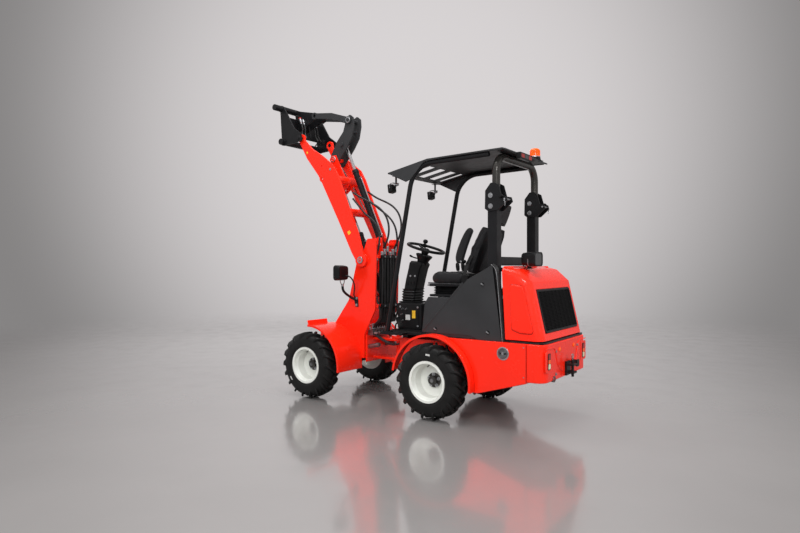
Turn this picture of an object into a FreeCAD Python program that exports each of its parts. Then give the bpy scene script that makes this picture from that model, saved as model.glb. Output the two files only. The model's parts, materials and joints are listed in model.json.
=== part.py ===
import FreeCAD, Part
import math
import os
import re

import Sketcher
from FreeCAD import Placement, Rotation, Vector

# Compact articulated wheel loader with a raised tool arm.
# Millimetres. +X is forward, +Y is the driver's left, +Z is up. The origin is on the ground,
# under the middle of the machine's box. Sizes called X run forward from the articulation pin.

# Sizes that a designer sets.
SIZES = {
    # whole machine
    "pivotX": 168, "wheelBase": 1357, "runningGap": 5, "seatGap": 0.3, "pinGap": 0.05, "bodyAboveTyre": 45,
    "bodyHalf": 460, "pinRadius": 20, "pinHead": 31, "pinHeadWall": 8,
    # wheels and axles
    "tyreRadius": 310, "tyreWidth": 186, "wheelY": 482, "treadEdge": 62, "sidewallBulge": 10,
    "rimRadius": 152, "rimWall": 5, "flangeRadius": 170, "flangeWall": 7, "discInset": 34, "discWall": 10,
    "hubRadius": 74, "hubStep": 4, "hubLength": 40, "spindleRadius": 30, "axleBeam": 110, "axleEndGap": 12,
    "gearCaseLength": 240, "gearCaseWidth": 200, "gearCaseDrop": 50,
    # fenders
    "archClear": 62, "fenderWall": 6, "fenderEdge": 525, "fenderLip": 14, "fenderOverlap": 29.7,
    "rearFenderStart": 8, "rearFenderSweep": 180, "frontFenderStart": 88, "frontFenderSweep": 98,
    "fenderFlare": 40, "flareLean": 12, "flareInner": 259,
    # rear frame, tanks and counterweight
    "rearOverhang": 811.5, "railY": 200, "railWall": 20, "railFront": 165, "railDrop": 65, "tankDrop": 413,
    "tankFloorHalf": 20, "tankRearDrop": 290, "archMargin": 11.5, "weightDepth": 136, "weightHeight": 280,
    "weightRound": 85, "capAhead": 190, "capDrop": 83, "capRadius": 40, "capRecess": 5, "capWall": 13,
    "engineLength": 314, "engineHalf": 190, "engineRise": 235,
    "tailLampY": 318, "tailLampWidth": 44, "tailLampHeight": 120, "tailLampDrop": 215, "tailLampWall": 9,
    # articulation
    "lugHalf": 70, "lugWall": 24, "lugGap": 1, "upperLugDrop": 40, "lowerLugDrop": 35, "kingPinRadius": 24,
    "kingPinEnd": 12,
    # side panels, floor and console
    "panelInset": 30, "panelWall": 8, "panelSkirt": 28, "floorWall": 20, "floorHalf": 330, "floorFront": 95,
    "stepRear": 330, "consoleHeight": 240, "consoleHalf": 140, "consoleFront": 80, "consoleLength": 270,
    "seatBoxAhead": 88.5, "seatBoxHeight": 310, "seatBoxWall": 8, "seatBoxClear": 15,
    # steering column and wheel
    "columnFootSize": 200, "columnFootHeight": 115, "columnLength": 190, "columnWidth": 180,
    "columnHeight": 270, "columnFront": 110, "steerRadius": 182, "steerTube": 13, "steerX": 306,
    "steerRise": 113, "steerTilt": 17, "steerHub": 34, "steerHubLength": 60, "steerShaft": 16,
    "neckWall": 10, "neckLength": 90, "spokeWidth": 30, "spokeWall": 8,
    # seat
    "cushionBehind": 290, "cushionLength": 400, "cushionHalf": 230, "cushionThick": 95, "mountHeight": 120,
    "mountInset": 20, "backWidth": 380, "backHeight": 430, "backThick": 85, "backLean": 22,
    "headWidth": 260, "headHeight": 190, "headThick": 70,
    # roll-over bar and hoop
    "postInset": 60, "postBehind": 506.5, "postSize": 80, "postWall": 6, "postHeight": 1095,
    "crossbarRise": 615, "crossbarSize": 70, "hingeHalf": 44,
    "hingeWall": 12, "hingeSaddle": 20, "hoopRadius": 31, "hoopBehind": 15, "hoopBend": 130,
    # roof, struts and lights
    "roofHalf": 420, "roofWall": 12, "roofFront": 182, "roofRise": 387, "visorLength": 408, "visorDrop": 81,
    "roofSag": 14, "roofBendBehind": 72, "roofTail": 28, "roofTailDrop": 8, "gussetWall": 7,
    "slotLength": 250, "slotWidth": 112, "slotPitch": 178, "sideSlotWidth": 62, "sideSlotY": 330,
    "slotStart": 95, "strutRadius": 20, "strutInset": 28,
    "strutFootX": 160, "strutFootWall": 6, "strutTopX": 438, "strutBend": 230, "strutRearGap": 50,
    "beaconBehind": 50, "beaconInset": 120, "beaconPlate": 110, "beaconPlateWall": 6, "beaconRadius": 44,
    "beaconHeight": 105, "roofLampY": 320, "roofLampX": 200, "roofLampSize": 76, "roofLampDrop": 78,
    "roofLampReach": 75, "rearLampY": 105, "rearLampWidth": 230, "rearLampHeight": 52, "rearLampLength": 36,
    # hood, deck and grille
    "deckHeight": 16, "deckWall": 40, "hoodBehind": 120, "hoodSetback": 22, "hoodHeight": 557,
    "hoodLean": 31, "hoodCrown": 126, "hoodCrownDrop": 31, "hoodSlopeRun": 101, "hoodShoulder": 434,
    "hoodWall": 6, "hoodRound": 60, "grilleHalf": 345, "grilleRise": 54, "grilleHeight": 325,
    "grilleWall": 10, "grilleInset": 2, "hoodPinAhead": 24, "hoodPinDrop": 28, "hoodPinRadius": 8,
    "hoodEarWall": 10, "hoodEarY": 350, "hoodEarLength": 60, "workLampAlong": 145, "workPostAlong": 100,
    "workLampY": 200,
    "workLampLength": 120, "workLampWidth": 160, "workLampHeight": 118, "workLampFoot": 14,
    # hitch
    "hitchDrop": 220, "hitchReach": 52, "hitchHalf": 45, "hitchPlateHalf": 55, "hitchWall": 16,
    "hitchMouth": 22,
    "hitchPinRadius": 11, "hitchPinInset": 22, "hitchPinHalf": 65,
    # front frame and tower
    "towerY": 164, "towerWall": 20, "towerAhead": 181.5, "towerRear": 275, "towerNose": 260,
    "towerNoseInset": 60, "towerShelfRise": 515, "towerShelfWall": 16, "towerShelfLength": 60,
    "armGap": 14, "bossInset": 6, "boomPivotRound": 66,
    "headLampX": 400, "headLampY": 330, "headLampRise": 437, "headLampLength": 70, "headLampWidth": 155,
    "headLampHeight": 147, "lampPostRadius": 9, "lampPostLength": 175, "lampArmRadius": 7,
    "hoseRadius": 10, "hosePitch": 42, "hoseCount": 4, "hoseInnerY": 70, "hoseX": 118, "hoseTopRise": 760,
    "hoseBendRise": 110, "hoseRun": 120, "hoseFall": 70, "hoseBend": 90, "valveLength": 62, "valveHeight": 50,
    "clampWall": 14, "clampHeight": 30, "clampLowRise": 185, "clampHighRise": 650,
    # tool arm
    "boomPivotX": 288, "boomPivotRise": 633, "boomLength": 1475, "boomAngle": 57.7, "armWall": 24,
    "armFootRadius": 66, "armTipRadius": 44, "armRound": 26, "lowTubeAlong": 500, "lowTubeAbove": 82,
    "lowTubeRadius": 38, "highTubeBack": 625, "highTubeAbove": 138, "highTubeRadius": 45,
    "armHoleRadius": 13, "armHoleBack": 520, "armHoleAbove": 8, "armLobeRadius": 30,
    "smallHoleRadius": 7, "smallHoleBack": 413, "smallHoleAbove": 75,
    # rocker, link and tool carrier
    "rockerBack": 359, "rockerAbove": 146, "rockerY": 55, "rockerWall": 16, "rockerRound": 18,
    "rodPinX": -96, "rodPinZ": 142, "linkPinX": -189, "linkPinZ": 374, "stubLength": 22, "lugPlateWall": 16,
    "tieRadius": 14, "tieX": -185, "tieZ": 268, "linkSide": 6, "linkWall": 14, "linkHalf": 28,
    "linkWaist": 16, "linkCrown": 22, "linkEyeRadius": 36, "linkPinRadius": 18, "linkTieShare": 0.55,
    "linkTieRise": 12, "pinEnd": 8, "carrierLinkX": -45, "carrierLinkZ": 255, "barX": 247, "barZ": 332,
    "barRadius": 31, "barHalf": 365, "collarWall": 4, "lockX": 222, "lockZ": -15, "lockRadius": 32,
    "lockReach": 31,
    "cheekGap": 31, "cheekWall": 18, "carrierPlateWall": 14, "carrierPlateSetback": 50,
    "carrierPlateBottom": 60, "carrierPlateHeight": 190,
    # hydraulic cylinders
    "tiltFootX": 205, "tiltFootRise": 780, "tiltBarrelRadius": 29, "tiltRodRadius": 16, "eyeRadius": 33,
    "eyeHalf": 24, "eyeBlend": 0.8, "boreClear": 1, "barrelHead": 40, "tiltRodStart": 60, "tiltRodShow": 315,
    "liftFootX": 200, "liftFootRise": 295, "liftEyeBack": 653, "liftEyeAbove": 32,
    "liftRodStart": 500, "liftRodShow": 523, "liftBarrelRadius": 33, "liftRodRadius": 18,
    # sizes that follow from the others
    "archRadius": "tyreRadius + archClear", "bodyTop": "2*tyreRadius + bodyAboveTyre",
    "tankBottom": "bodyTop - tankDrop", "tankRearBottom": "bodyTop - tankRearDrop",
    "hitchZ": "bodyTop - hitchDrop", "towerShelfZ": "bodyTop + towerShelfRise",
    "headLampZ": "bodyTop + headLampRise", "hoseTop": "bodyTop + hoseTopRise",
    "hoseBendZ": "bodyTop + hoseBendRise", "clampLow": "bodyTop + clampLowRise",
    "clampHigh": "bodyTop + clampHighRise", "boomPivotZ": "bodyTop + boomPivotRise",
    "tiltFootZ": "bodyTop + tiltFootRise", "liftFootZ": "bodyTop + liftFootRise",
    "axleTop": "tyreRadius + axleBeam / 2",
    "railRear": "wheelBase / 2 + rearOverhang", "railTop": "bodyTop - railDrop",
    "weightRear": "railRear + weightDepth", "weightBottom": "bodyTop - weightHeight",
    "tankFront": "wheelBase / 2 + archRadius + archMargin",
    "upperLugZ": "railTop - upperLugDrop", "lowerLugZ": "axleTop - lowerLugDrop",
    "capX": "railRear - capAhead", "capZ": "bodyTop - capDrop",
    "panelHalf": "bodyHalf - panelInset", "hoodHalf": "panelHalf", "postY": "panelHalf - postInset",
    "rearFenderInner": "bodyHalf - fenderOverlap",
    "postX": "wheelBase / 2 + postBehind", "postTop": "bodyTop + postHeight",
    "crossbarZ": "bodyTop + crossbarRise", "hoopX": "postX + hoopBehind",
    "seatBoxFront": "wheelBase / 2 - seatBoxAhead", "seatBoxRear": "postX - postSize / 2 - seatBoxClear",
    "seatBoxTop": "bodyTop + seatBoxHeight", "seatBoxHalf": "panelHalf - panelWall",
    "cushionRear": "seatBoxRear - cushionBehind",
    "cushionBottom": "seatBoxTop + mountHeight", "cushionTop": "cushionBottom + cushionThick",
    "engineFront": "seatBoxRear + runningGap", "engineTop": "bodyTop + engineRise",
    "consoleTop": "bodyTop + consoleHeight", "columnFoot": "consoleTop + columnFootHeight",
    "columnTop": "columnFoot + columnHeight", "steerZ": "columnTop + steerRise",
    "roofBendX": "hoopX + roofBendBehind", "roofRearX": "roofBendX + roofTail",
    "roofBendZ": "postTop + roofRise", "roofRearZ": "roofBendZ - roofTailDrop",
    "visorX": "roofFront + visorLength", "visorZ": "roofBendZ - roofSag", "roofFrontZ": "visorZ - visorDrop",
    "strutY": "roofHalf - strutInset", "stepHalf": "strutY + 1.3 * strutRadius",
    "hoodBottom": "bodyTop + deckHeight + runningGap", "hoodFront": "postX + hoodBehind",
    "hoodTopX": "hoodFront - hoodLean", "hoodTopZ": "hoodBottom + hoodHeight",
    "hoodMidX": "hoodTopX + hoodCrown", "hoodMidZ": "hoodTopZ - hoodCrownDrop",
    "hoodRear": "weightRear - hoodSetback", "hoodBackX": "hoodRear - hoodSlopeRun",
    "hoodBackZ": "hoodBottom + hoodShoulder",
    "hoodPinX": "hoodTopX - hoodPinAhead", "hoodPinZ": "hoodTopZ - hoodPinDrop",
    "grilleBottom": "hoodBottom + grilleRise", "grilleTop": "grilleBottom + grilleHeight",
    "hitchFace": "weightRear + hitchWall", "hitchPinX": "hitchFace + hitchReach - hitchPinInset",
    "towerFront": "wheelBase / 2 + towerAhead", "armY": "towerY + towerWall + armGap + armWall / 2",
    "armOuter": "armY + armWall / 2", "armInner": "armY - armWall / 2",
    "rockerAlong": "boomLength - rockerBack", "highTubeAlong": "boomLength - highTubeBack",
    "liftEyeAlong": "boomLength - liftEyeBack", "linkY": "rockerY + rockerWall / 2 + linkWall / 2 + linkSide",
    "rockerLugY": "rockerY + rockerWall / 2 + runningGap + lugPlateWall / 2",
    "linkLugY": "linkY - linkWall / 2 - runningGap - lugPlateWall / 2",
    "liftLugY": "eyeHalf + runningGap + lugPlateWall / 2",
    "cheekY": "armOuter + cheekGap + cheekWall / 2",
}

# Side outlines as (X, Z) points, in the frame of the body that each one is drawn on.
TOWER_SIDE = [
    ("towerRear - 145", "bodyTop + 835"), ("towerRear - 130", "bodyTop + 165"),
    ("towerRear", "bodyTop - 75"), ("towerRear", "axleTop"), ("towerFront", "axleTop"),
    ("towerFront - 20", "bodyTop - 65"), ("towerFront - 220", "bodyTop + 25"),
    (470, "bodyTop + 247"), (372, "bodyTop + 605"),
    ("boomPivotX + 62", "boomPivotZ + 40"), ("boomPivotX", "boomPivotZ + boomPivotRound"),
    ("boomPivotX - 48", "bodyTop + 835")]
PANEL_SIDE = [
    ("-postX - 10", "bodyTop + 585"), ("-postX + 88", "bodyTop + 533"), ("-postX + 208", "bodyTop + 470"),
    ("-postX + 325", "bodyTop + 348"), ("-postX + 375", "bodyTop + 322"),
    ("-seatBoxFront - 20", "bodyTop + 322"), ("-seatBoxFront + 15", "bodyTop + 270"),
    ("-seatBoxFront + 42", "bodyTop + panelSkirt"), ("-tankFront + 60", "bodyTop + panelSkirt"),
    ("-tankFront - 10", "bodyTop"), ("-postX - 87", "bodyTop")]
ARM_SIDE = [
    (-40, -52), (120, -58), (455, -34), ("boomLength - 570", -13), ("boomLength - 469", -12),
    ("boomLength - 223", -46), ("boomLength - 35", -42), ("boomLength + 30", -30), ("boomLength + 30", 30),
    ("boomLength - 50", 28), ("boomLength - 186", 62), ("boomLength - 326", 134), ("boomLength - 495", 198),
    ("boomLength - 615", 196), (505, 142), (250, 110), (60, 62), (-40, 52)]
ARM_ROUND_AT = (0, 7, 8, 12, 13, 17)
ROCKER_LUG_SIDE = [
    ("highTubeAlong - 20", "highTubeAbove - 30"), ("rockerAlong + 30", "rockerAbove - 44"),
    ("rockerAlong + 44", "rockerAbove"), ("rockerAlong + 20", "rockerAbove + 44"),
    ("highTubeAlong - 10", "highTubeAbove + 30")]
TILT_LUG_SIDE = [
    ("tiltFootX - 40", "towerShelfZ"), ("tiltFootX + 30", "towerShelfZ"), ("tiltFootX + 42", "tiltFootZ"),
    ("tiltFootX + 32", "tiltFootZ + 60"), ("tiltFootX", "tiltFootZ + 82"),
    ("tiltFootX - 32", "tiltFootZ + 60"), ("tiltFootX - 42", "tiltFootZ")]
LIFT_LUG_SIDE = [
    ("liftEyeAlong - 40", "liftEyeAbove - 40"), ("liftEyeAlong + 40", "liftEyeAbove - 40"),
    ("liftEyeAlong + 50", "highTubeAbove"), ("liftEyeAlong - 30", "highTubeAbove")]
ROCKER_SIDE = [
    (72, 2), (22, 98), (-34, 186), (-112, 270), (-136, 340), ("linkPinX + 51", "linkPinZ + 26"),
    ("linkPinX - 11", "linkPinZ + 56"), ("linkPinX - 55", "linkPinZ + 22"), (-250, 320), (-226, 205),
    (-160, 105), (-60, -14), (-8, -72)]
ROCKER_ROUND_AT = (0, 12, 5, 6, 7)
CHEEK_SIDE = [
    (-40, -30), (40, -44), ("lockX - 4", "lockZ - 39"), ("lockX + 16", "lockZ + 34"),
    ("barX + 16", "barZ + 10"), ("barX - 40", "barZ + 10"), (60, 110), (-40, 40)]
LINK_LUG_SIDE = [
    ("carrierLinkX - 30", "carrierLinkZ - 20"), ("barX - 20", 120), ("barX + 10", "barZ"),
    ("barX - 30", "barZ + 16"), ("carrierLinkX - 20", "carrierLinkZ + 30")]
HINGE_SIDE = [
    ("-postX + 58", "postTop - 73"), ("-postX + 55", "postTop + 66"), ("-postX + 12", "postTop + 120"),
    ("-postX + 5", "postTop + 124"), ("-postX - 26", "postTop + 124"), ("-postX - 59", "postTop + 106"),
    ("-postX - 84", "postTop + 20"), ("-postX - 122", "postTop + 12"), ("-postX - 133", "postTop - 24"),
    ("-postX - 56", "postTop - 90"), ("-postX + 29", "postTop - 96")]
GUSSET_SIDE = [
    ("-roofFront", "roofFrontZ - roofWall/2"), ("-roofFront - 193", "roofFrontZ - 95"),
    ("-roofFront - 240", "roofFrontZ - 78"), ("-visorX + 24", "visorZ - roofWall")]
HOOD_EAR_SIDE = [
    ("-hoodPinX + 12", "hoodPinZ - 12"), ("-hoodPinX + 12", "hoodPinZ + 8"),
    ("-hoodTopX - hoodWall", "hoodTopZ - hoodWall/2"), ("-hoodTopX - hoodEarLength", "hoodTopZ - hoodWall/2"),
    ("-hoodTopX - hoodEarLength", "hoodPinZ - 30"), ("-hoodTopX - hoodWall", "hoodPinZ - 12")]
BAR_EAR_SIDE = [
    ("-postX", "hoodPinZ - 25"), ("-postX", "hoodPinZ + 25"), ("-hoodPinX - 6", "hoodPinZ + 13"),
    ("-hoodPinX - 13", "hoodPinZ"), ("-hoodPinX - 6", "hoodPinZ - 13")]

doc = FreeCAD.newDocument("WheelLoader")
sheet = doc.addObject("Spreadsheet::Sheet", "Sizes")
for row, (alias, value) in enumerate(SIZES.items(), start=1):
    sheet.set("A%d" % row, alias)
    sheet.set("B%d" % row, "=" + value if isinstance(value, str) else str(value))
    sheet.setAlias("B%d" % row, alias)
doc.recompute()

nodes = {}
ALONG = {"X": Rotation(Vector(0, 1, 0), 90), "Y": Rotation(Vector(1, 0, 0), -90), "Z": Rotation()}


def size(alias):
    """A driving size, read from the sheet."""
    return float(sheet.get(alias))


def bound(text):
    """An expression with the sheet's name before each alias."""
    def named(word):
        return "Sizes." + word[0] if word[0] in SIZES else word[0]
    return re.sub(r"[A-Za-z_]\w*", named, str(text))


def bind(thing, **properties):
    for name, text in properties.items():
        thing.setExpression(name.replace("_", "."), bound(text))


def node(label, thing):
    """Keep an object as one of the machine's pieces, under its own label."""
    thing.Label = label
    nodes[label] = thing
    return thing


def place(thing, x=0, y=0, z=0, rotation=None):
    """Stand an object at bound coordinates, X counted from the articulation pin."""
    thing.Placement = Placement(Vector(), rotation or Rotation())
    bind(thing, Placement_Base_x="pivotX + (%s)" % x, Placement_Base_y=y, Placement_Base_z=z)
    return thing


def box(lengths, corner, name="Box"):
    """A block from its lowest corner, lengths and corner as bound text."""
    block = doc.addObject("Part::Box", name)
    bind(block, Length=lengths[0], Width=lengths[1], Height=lengths[2])
    return place(block, *corner)


def rod(radius, length, start, along="Y", name="Rod"):
    """A round bar from the centre of its first end."""
    bar = doc.addObject("Part::Cylinder", name)
    bind(bar, Radius=radius, Height=length)
    return place(bar, *start, rotation=ALONG[along])


def cross_rod(radius, half, x, z, middle=0, name="Pin"):
    """A round bar across the machine, reaching half each side of its middle."""
    return rod(radius, "2*(%s)" % half, (x, "(%s) - (%s)" % (middle, half), z), name=name)


def fuse(pieces, name="Fusion"):
    joined = doc.addObject("Part::MultiFuse", name)
    joined.Shapes = pieces
    joined.Refine = True
    return joined


def cut(base, tools, name="Cut"):
    remains = doc.addObject("Part::Cut", name)
    remains.Base = base
    remains.Tool = tools[0] if len(tools) == 1 else fuse(tools)
    return remains


def new_body(name, x=0, y=0, z=0, rotation=None):
    return place(doc.addObject("PartDesign::Body", name), x, y, z, rotation)


def sketch_on(body, role, level=0):
    """An empty sketch on one of the body's own planes, raised by level along its normal."""
    sketch = body.newObject("Sketcher::SketchObject", "Outline")
    plane = next(item for item in body.Origin.OriginFeatures if item.Role == role)
    sketch.AttachmentSupport = (plane, [""])
    sketch.MapMode = "FlatFace"
    bind(sketch, AttachmentOffset_Base_z=level)
    return sketch


def pin_point(sketch, geometry, end, across, up):
    """Fix a sketch point at bound coordinates."""
    for kind, text in (("DistanceX", across), ("DistanceY", up)):
        index = sketch.addConstraint(Sketcher.Constraint(kind, -1, 1, geometry, end, 1.0))
        sketch.setExpression("Constraints[%d]" % index, bound(text))


def outline(sketch, corners):
    """A closed loop of straight sides through the corners."""
    first = sketch.GeometryCount
    count = len(corners)
    ring = [Vector(math.cos(math.tau * step / count), math.sin(math.tau * step / count)) * 50
            for step in range(count + 1)]
    for step in range(count):
        sketch.addGeometry(Part.LineSegment(ring[step], ring[step + 1]), False)
    for step, (across, up) in enumerate(corners):
        following = first + (step + 1) % count
        sketch.addConstraint(Sketcher.Constraint("Coincident", first + step, 2, following, 1))
        pin_point(sketch, first + step, 1, across, up)
    return sketch


def circle(sketch, radius, across=0, up=0):
    index = sketch.addGeometry(Part.Circle(Vector(1, 1, 0), Vector(0, 0, 1), 10), False)
    number = sketch.addConstraint(Sketcher.Constraint("Radius", index, 10.0))
    sketch.setExpression("Constraints[%d]" % number, bound(radius))
    pin_point(sketch, index, 3, across, up)
    return sketch


def pad(body, sketch, length, both=True, backwards=False):
    feature = body.newObject("PartDesign::Pad", "Pad")
    feature.Profile = sketch
    feature.SideType = "Symmetric" if both else "One side"
    feature.Reversed = backwards
    bind(feature, Length=length)
    return feature


def pocket(body, sketch):
    """Cut the sketch right through the body, both ways."""
    feature = body.newObject("PartDesign::Pocket", "Pocket")
    feature.Profile = sketch
    feature.Type = "ThroughAll"
    feature.SideType = "Symmetric"
    return feature


def turn(body, sketch, axis_role, angle=360):
    """Revolve the sketch about one of the body's own axes."""
    feature = body.newObject("PartDesign::Revolution", "Turn")
    feature.Profile = sketch
    axis = next(item for item in body.Origin.OriginFeatures if item.Role == axis_role)
    feature.ReferenceAxis = (axis, [""])
    bind(feature, Angle=angle)
    return feature


def rounded(body, feature, sketch, corners, radius):
    """Fillet the straight edges that rise from the numbered corners of a sketch."""
    doc.recompute()
    spots = [sketch.Placement.multVec(sketch.getPoint(corner, 1)) for corner in corners]
    normal = sketch.Placement.Rotation.multVec(Vector(0, 0, 1))
    names = []
    for number, edge in enumerate(feature.Shape.Edges, start=1):
        start, end = edge.Vertexes[0].Point, edge.Vertexes[-1].Point
        if (end - start).cross(normal).Length > 0.01:
            continue
        if any((start - spot).cross(normal).Length < 0.01 for spot in spots):
            names.append("Edge%d" % number)
    fillet = body.newObject("PartDesign::Fillet", "Rounding")
    fillet.Base = (feature, names)
    bind(fillet, Radius=radius)
    return fillet


def side_plate(name, corners, thickness, y=0, holes=(), round_at=(), round_by=0):
    """A plate seen from the side: its outline in X and Z, its middle plane at y."""
    body = new_body(name, y=y)
    sketch = outline(sketch_on(body, "XZ_Plane"), corners)
    feature = pad(body, sketch, thickness)
    if round_at:
        feature = rounded(body, feature, sketch, round_at, round_by)
    if holes:
        ring = sketch_on(body, "XZ_Plane")
        for radius, across, up in holes:
            circle(ring, radius, across, up)
        pocket(body, ring)
    return body


def path_sweep(name, points, radius, bend, wall=0):
    """A round tube along a path of straight runs joined by tangent bends."""
    spots = [Vector(*point) for point in points]
    edges = []
    start = spots[0]
    for before, corner, after in zip(spots, spots[1:], spots[2:]):
        inward = (before - corner).normalize()
        onward = (after - corner).normalize()
        half = inward.getAngle(onward) / 2
        reach = bend / math.tan(half)
        middle = corner + (inward + onward).normalize() * (bend / math.sin(half) - bend)
        edges.append(Part.LineSegment(start, corner + inward * reach).toShape())
        edges.append(Part.Arc(corner + inward * reach, middle, corner + onward * reach).toShape())
        start = corner + onward * reach
    edges.append(Part.LineSegment(start, spots[-1]).toShape())
    wire = Part.Wire(edges)
    heading = (spots[1] - spots[0]).normalize()
    def swept(reach):
        ring = Part.Wire(Part.makeCircle(reach, spots[0], heading))
        return wire.makePipeShell([ring], True, False)
    tube = doc.addObject("Part::Feature", name)
    shape = swept(radius)
    if wall:
        shape = shape.cut(swept(radius - wall))
    tube.Shape = shape
    return tube


def machine(x, y, z):
    """A point of the machine as a vector, X counted from the articulation pin."""
    return Vector(size("pivotX") + x, y, z)


# ---- places on the raised tool arm, from its foot pin -----------------------------------------

def on_boom(along, above):
    """X and Z of a point on the arm: along its centre line, and above it towards the driver."""
    angle = math.radians(size("boomAngle"))
    return (size("boomPivotX") + along * math.cos(angle) - above * math.sin(angle),
            size("boomPivotZ") + along * math.sin(angle) + above * math.cos(angle))


toolPinX, toolPinZ = on_boom(size("boomLength"), 0)
rockerX, rockerZ = on_boom(size("rockerAlong"), size("rockerAbove"))
rodEyeX, rodEyeZ = rockerX + size("rodPinX"), rockerZ + size("rodPinZ")
linkRearX, linkRearZ = rockerX + size("linkPinX"), rockerZ + size("linkPinZ")
linkFrontX, linkFrontZ = toolPinX + size("carrierLinkX"), toolPinZ + size("carrierLinkZ")
liftEyeX, liftEyeZ = on_boom(size("liftEyeAlong"), size("liftEyeAbove"))


# ---- wheels -----------------------------------------------------------------------------------

def make_wheel(place_name, x, side):
    """A tyre on its dished rim, turned about the axle. The dish opens outwards."""
    tyre = new_body("Tyre", x=x, y="%d*wheelY" % side, z="tyreRadius")
    bead, wall = "(tyreWidth/2 - sidewallBulge)", "(flangeRadius + tyreRadius)/2"
    half = [(bead, "rimRadius + seatGap"), (bead, "flangeRadius + seatGap"), ("tyreWidth/2", wall),
            ("tyreWidth/2", "tyreRadius - treadEdge/2"), (bead, "tyreRadius")]
    section = half + [("-" + across, up) for across, up in reversed(half)]
    turn(tyre, outline(sketch_on(tyre, "YZ_Plane"), section), "Y_Axis")
    node("tyre_" + place_name, tyre)

    rim = new_body("Rim", x=x, y="%d*wheelY" % side, z="tyreRadius")
    half = [(bead + " + flangeWall", "rimRadius - rimWall"), (bead + " + flangeWall", "flangeRadius"),
            (bead + " + seatGap", "flangeRadius"), (bead + " + seatGap", "rimRadius")]
    section = half + [("-" + across.replace(" + ", " - "), up) for across, up in reversed(half)]
    turn(rim, outline(sketch_on(rim, "YZ_Plane"), section), "Y_Axis")
    inner, outer = ("discWall", "hubLength") if side > 0 else ("hubLength", "discWall")
    low, high = "-%d*discInset - %s" % (side, inner), "-%d*discInset + %s" % (side, outer)
    near, far = "-%d*discInset - discWall/2" % side, "-%d*discInset + discWall/2" % side
    web = [(low, "spindleRadius + pinGap"), (high, "spindleRadius + pinGap"), (high, "hubRadius"),
           (far, "hubRadius + hubStep"), (far, "rimRadius - rimWall/2"), (near, "rimRadius - rimWall/2"),
           (near, "hubRadius + hubStep"), (low, "hubRadius")]
    turn(rim, outline(sketch_on(rim, "YZ_Plane"), web), "Y_Axis")
    node("rim_" + place_name, rim)


for end, x in (("front", "wheelBase/2"), ("rear", "-wheelBase/2")):
    for hand, side in (("left", 1), ("right", -1)):
        make_wheel("%s_%s" % (end, hand), x, side)


def make_axle(label, x):
    """A square beam with a gear case in the middle and a turned spindle at each end."""
    spindle_end = "(wheelY - discInset + hubLength - runningGap)"
    beam_end = "(wheelY - discInset - discWall - axleEndGap)"
    beam = box(("axleBeam", "2*" + beam_end, "axleBeam"),
               ("%s - axleBeam/2" % x, "-" + beam_end, "tyreRadius - axleBeam/2"))
    case = box(("gearCaseLength", "gearCaseWidth", "axleBeam + gearCaseDrop"),
               ("%s - gearCaseLength/2" % x, "-gearCaseWidth/2", "tyreRadius - axleBeam/2 - gearCaseDrop"))
    spindle = cross_rod("spindleRadius", spindle_end, x, "tyreRadius")
    node(label, fuse([beam, case, spindle]))


make_axle("front_axle", "wheelBase/2")
make_axle("rear_axle", "-wheelBase/2")


# ---- fenders ----------------------------------------------------------------------------------

def make_fender(label, x, inner, side, end):
    """An arch about the axle with a turned-down outer lip, at the front or rear end."""
    tilt = Rotation(Vector(0, 1, 0), -size(end + "FenderStart"))
    arch = new_body("Fender", x=x, z="tyreRadius", rotation=tilt)
    section = outline(sketch_on(arch, "XY_Plane"), [
        ("archRadius", "%d*%s" % (side, inner)), ("archRadius + fenderWall", "%d*%s" % (side, inner)),
        ("archRadius + fenderWall", "%d*fenderEdge" % side),
        ("archRadius - fenderLip", "%d*fenderEdge" % side),
        ("archRadius - fenderLip", "%d*(fenderEdge - fenderWall)" % side),
        ("archRadius", "%d*(fenderEdge - fenderWall)" % side)])
    turn(arch, section, "Y_Axis", end + "FenderSweep").Reversed = True
    if end == "rear":
        node(label, arch)
        return
    base, top = "tyreRadius + archRadius", "tyreRadius + archRadius + fenderWall + fenderFlare"
    flare = side_plate("Flare", [
        (x + " - fenderWall", base), (x, base), (x + " + flareLean", top),
        (x + " + flareLean - fenderWall", top)], "fenderEdge - flareInner",
        y="%d*(fenderEdge + flareInner)/2" % side)
    node(label, fuse([arch, flare]))


for hand, side in (("left", 1), ("right", -1)):
    make_fender("rear_fender_" + hand, "-wheelBase/2", "rearFenderInner", side, "rear")
    make_fender("front_fender_" + hand, "wheelBase/2", "(towerY + towerWall)", side, "front")

# ---- rear frame, tanks and counterweight ------------------------------------------------------

railLength = "(railRear - railFront)"
railHeight = "(railTop - axleTop)"
rails = [box((railLength, "railWall", railHeight), ("-railRear", "railY", "axleTop")),
         box((railLength, "railWall", railHeight), ("-railRear", "-railY - railWall", "axleTop")),
         box((railLength, "2*railY", "railWall"), ("-railRear", "-railY", "axleTop")),
         box(("railWall", "2*railY", railHeight), ("-railRear", "-railY", "axleTop")),
         box(("railWall", "2*railY", "railTop - lowerLugZ + lugWall"),
             ("-railFront - railWall", "-railY", "lowerLugZ - lugWall"))]


def hinge_lug(reach, level):
    """One flat lug round the king pin, reaching to a wall ahead of it or behind it."""
    corner = "0" if reach > 0 else "-railFront"
    length = "towerRear" if reach > 0 else "railFront"
    arm = box((length, "2*lugHalf", "lugWall"), (corner, "-lugHalf", level))
    return [arm, rod("lugHalf", "lugWall", ("0", "0", level), "Z")]


kingPinBore = rod("kingPinRadius + pinGap", "bodyTop", ("0", "0", "0"), "Z")
rearLugs = hinge_lug(-1, "upperLugZ") + hinge_lug(-1, "lowerLugZ")
node("rear_frame", cut(fuse(rails + rearLugs), [kingPinBore]))


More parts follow.
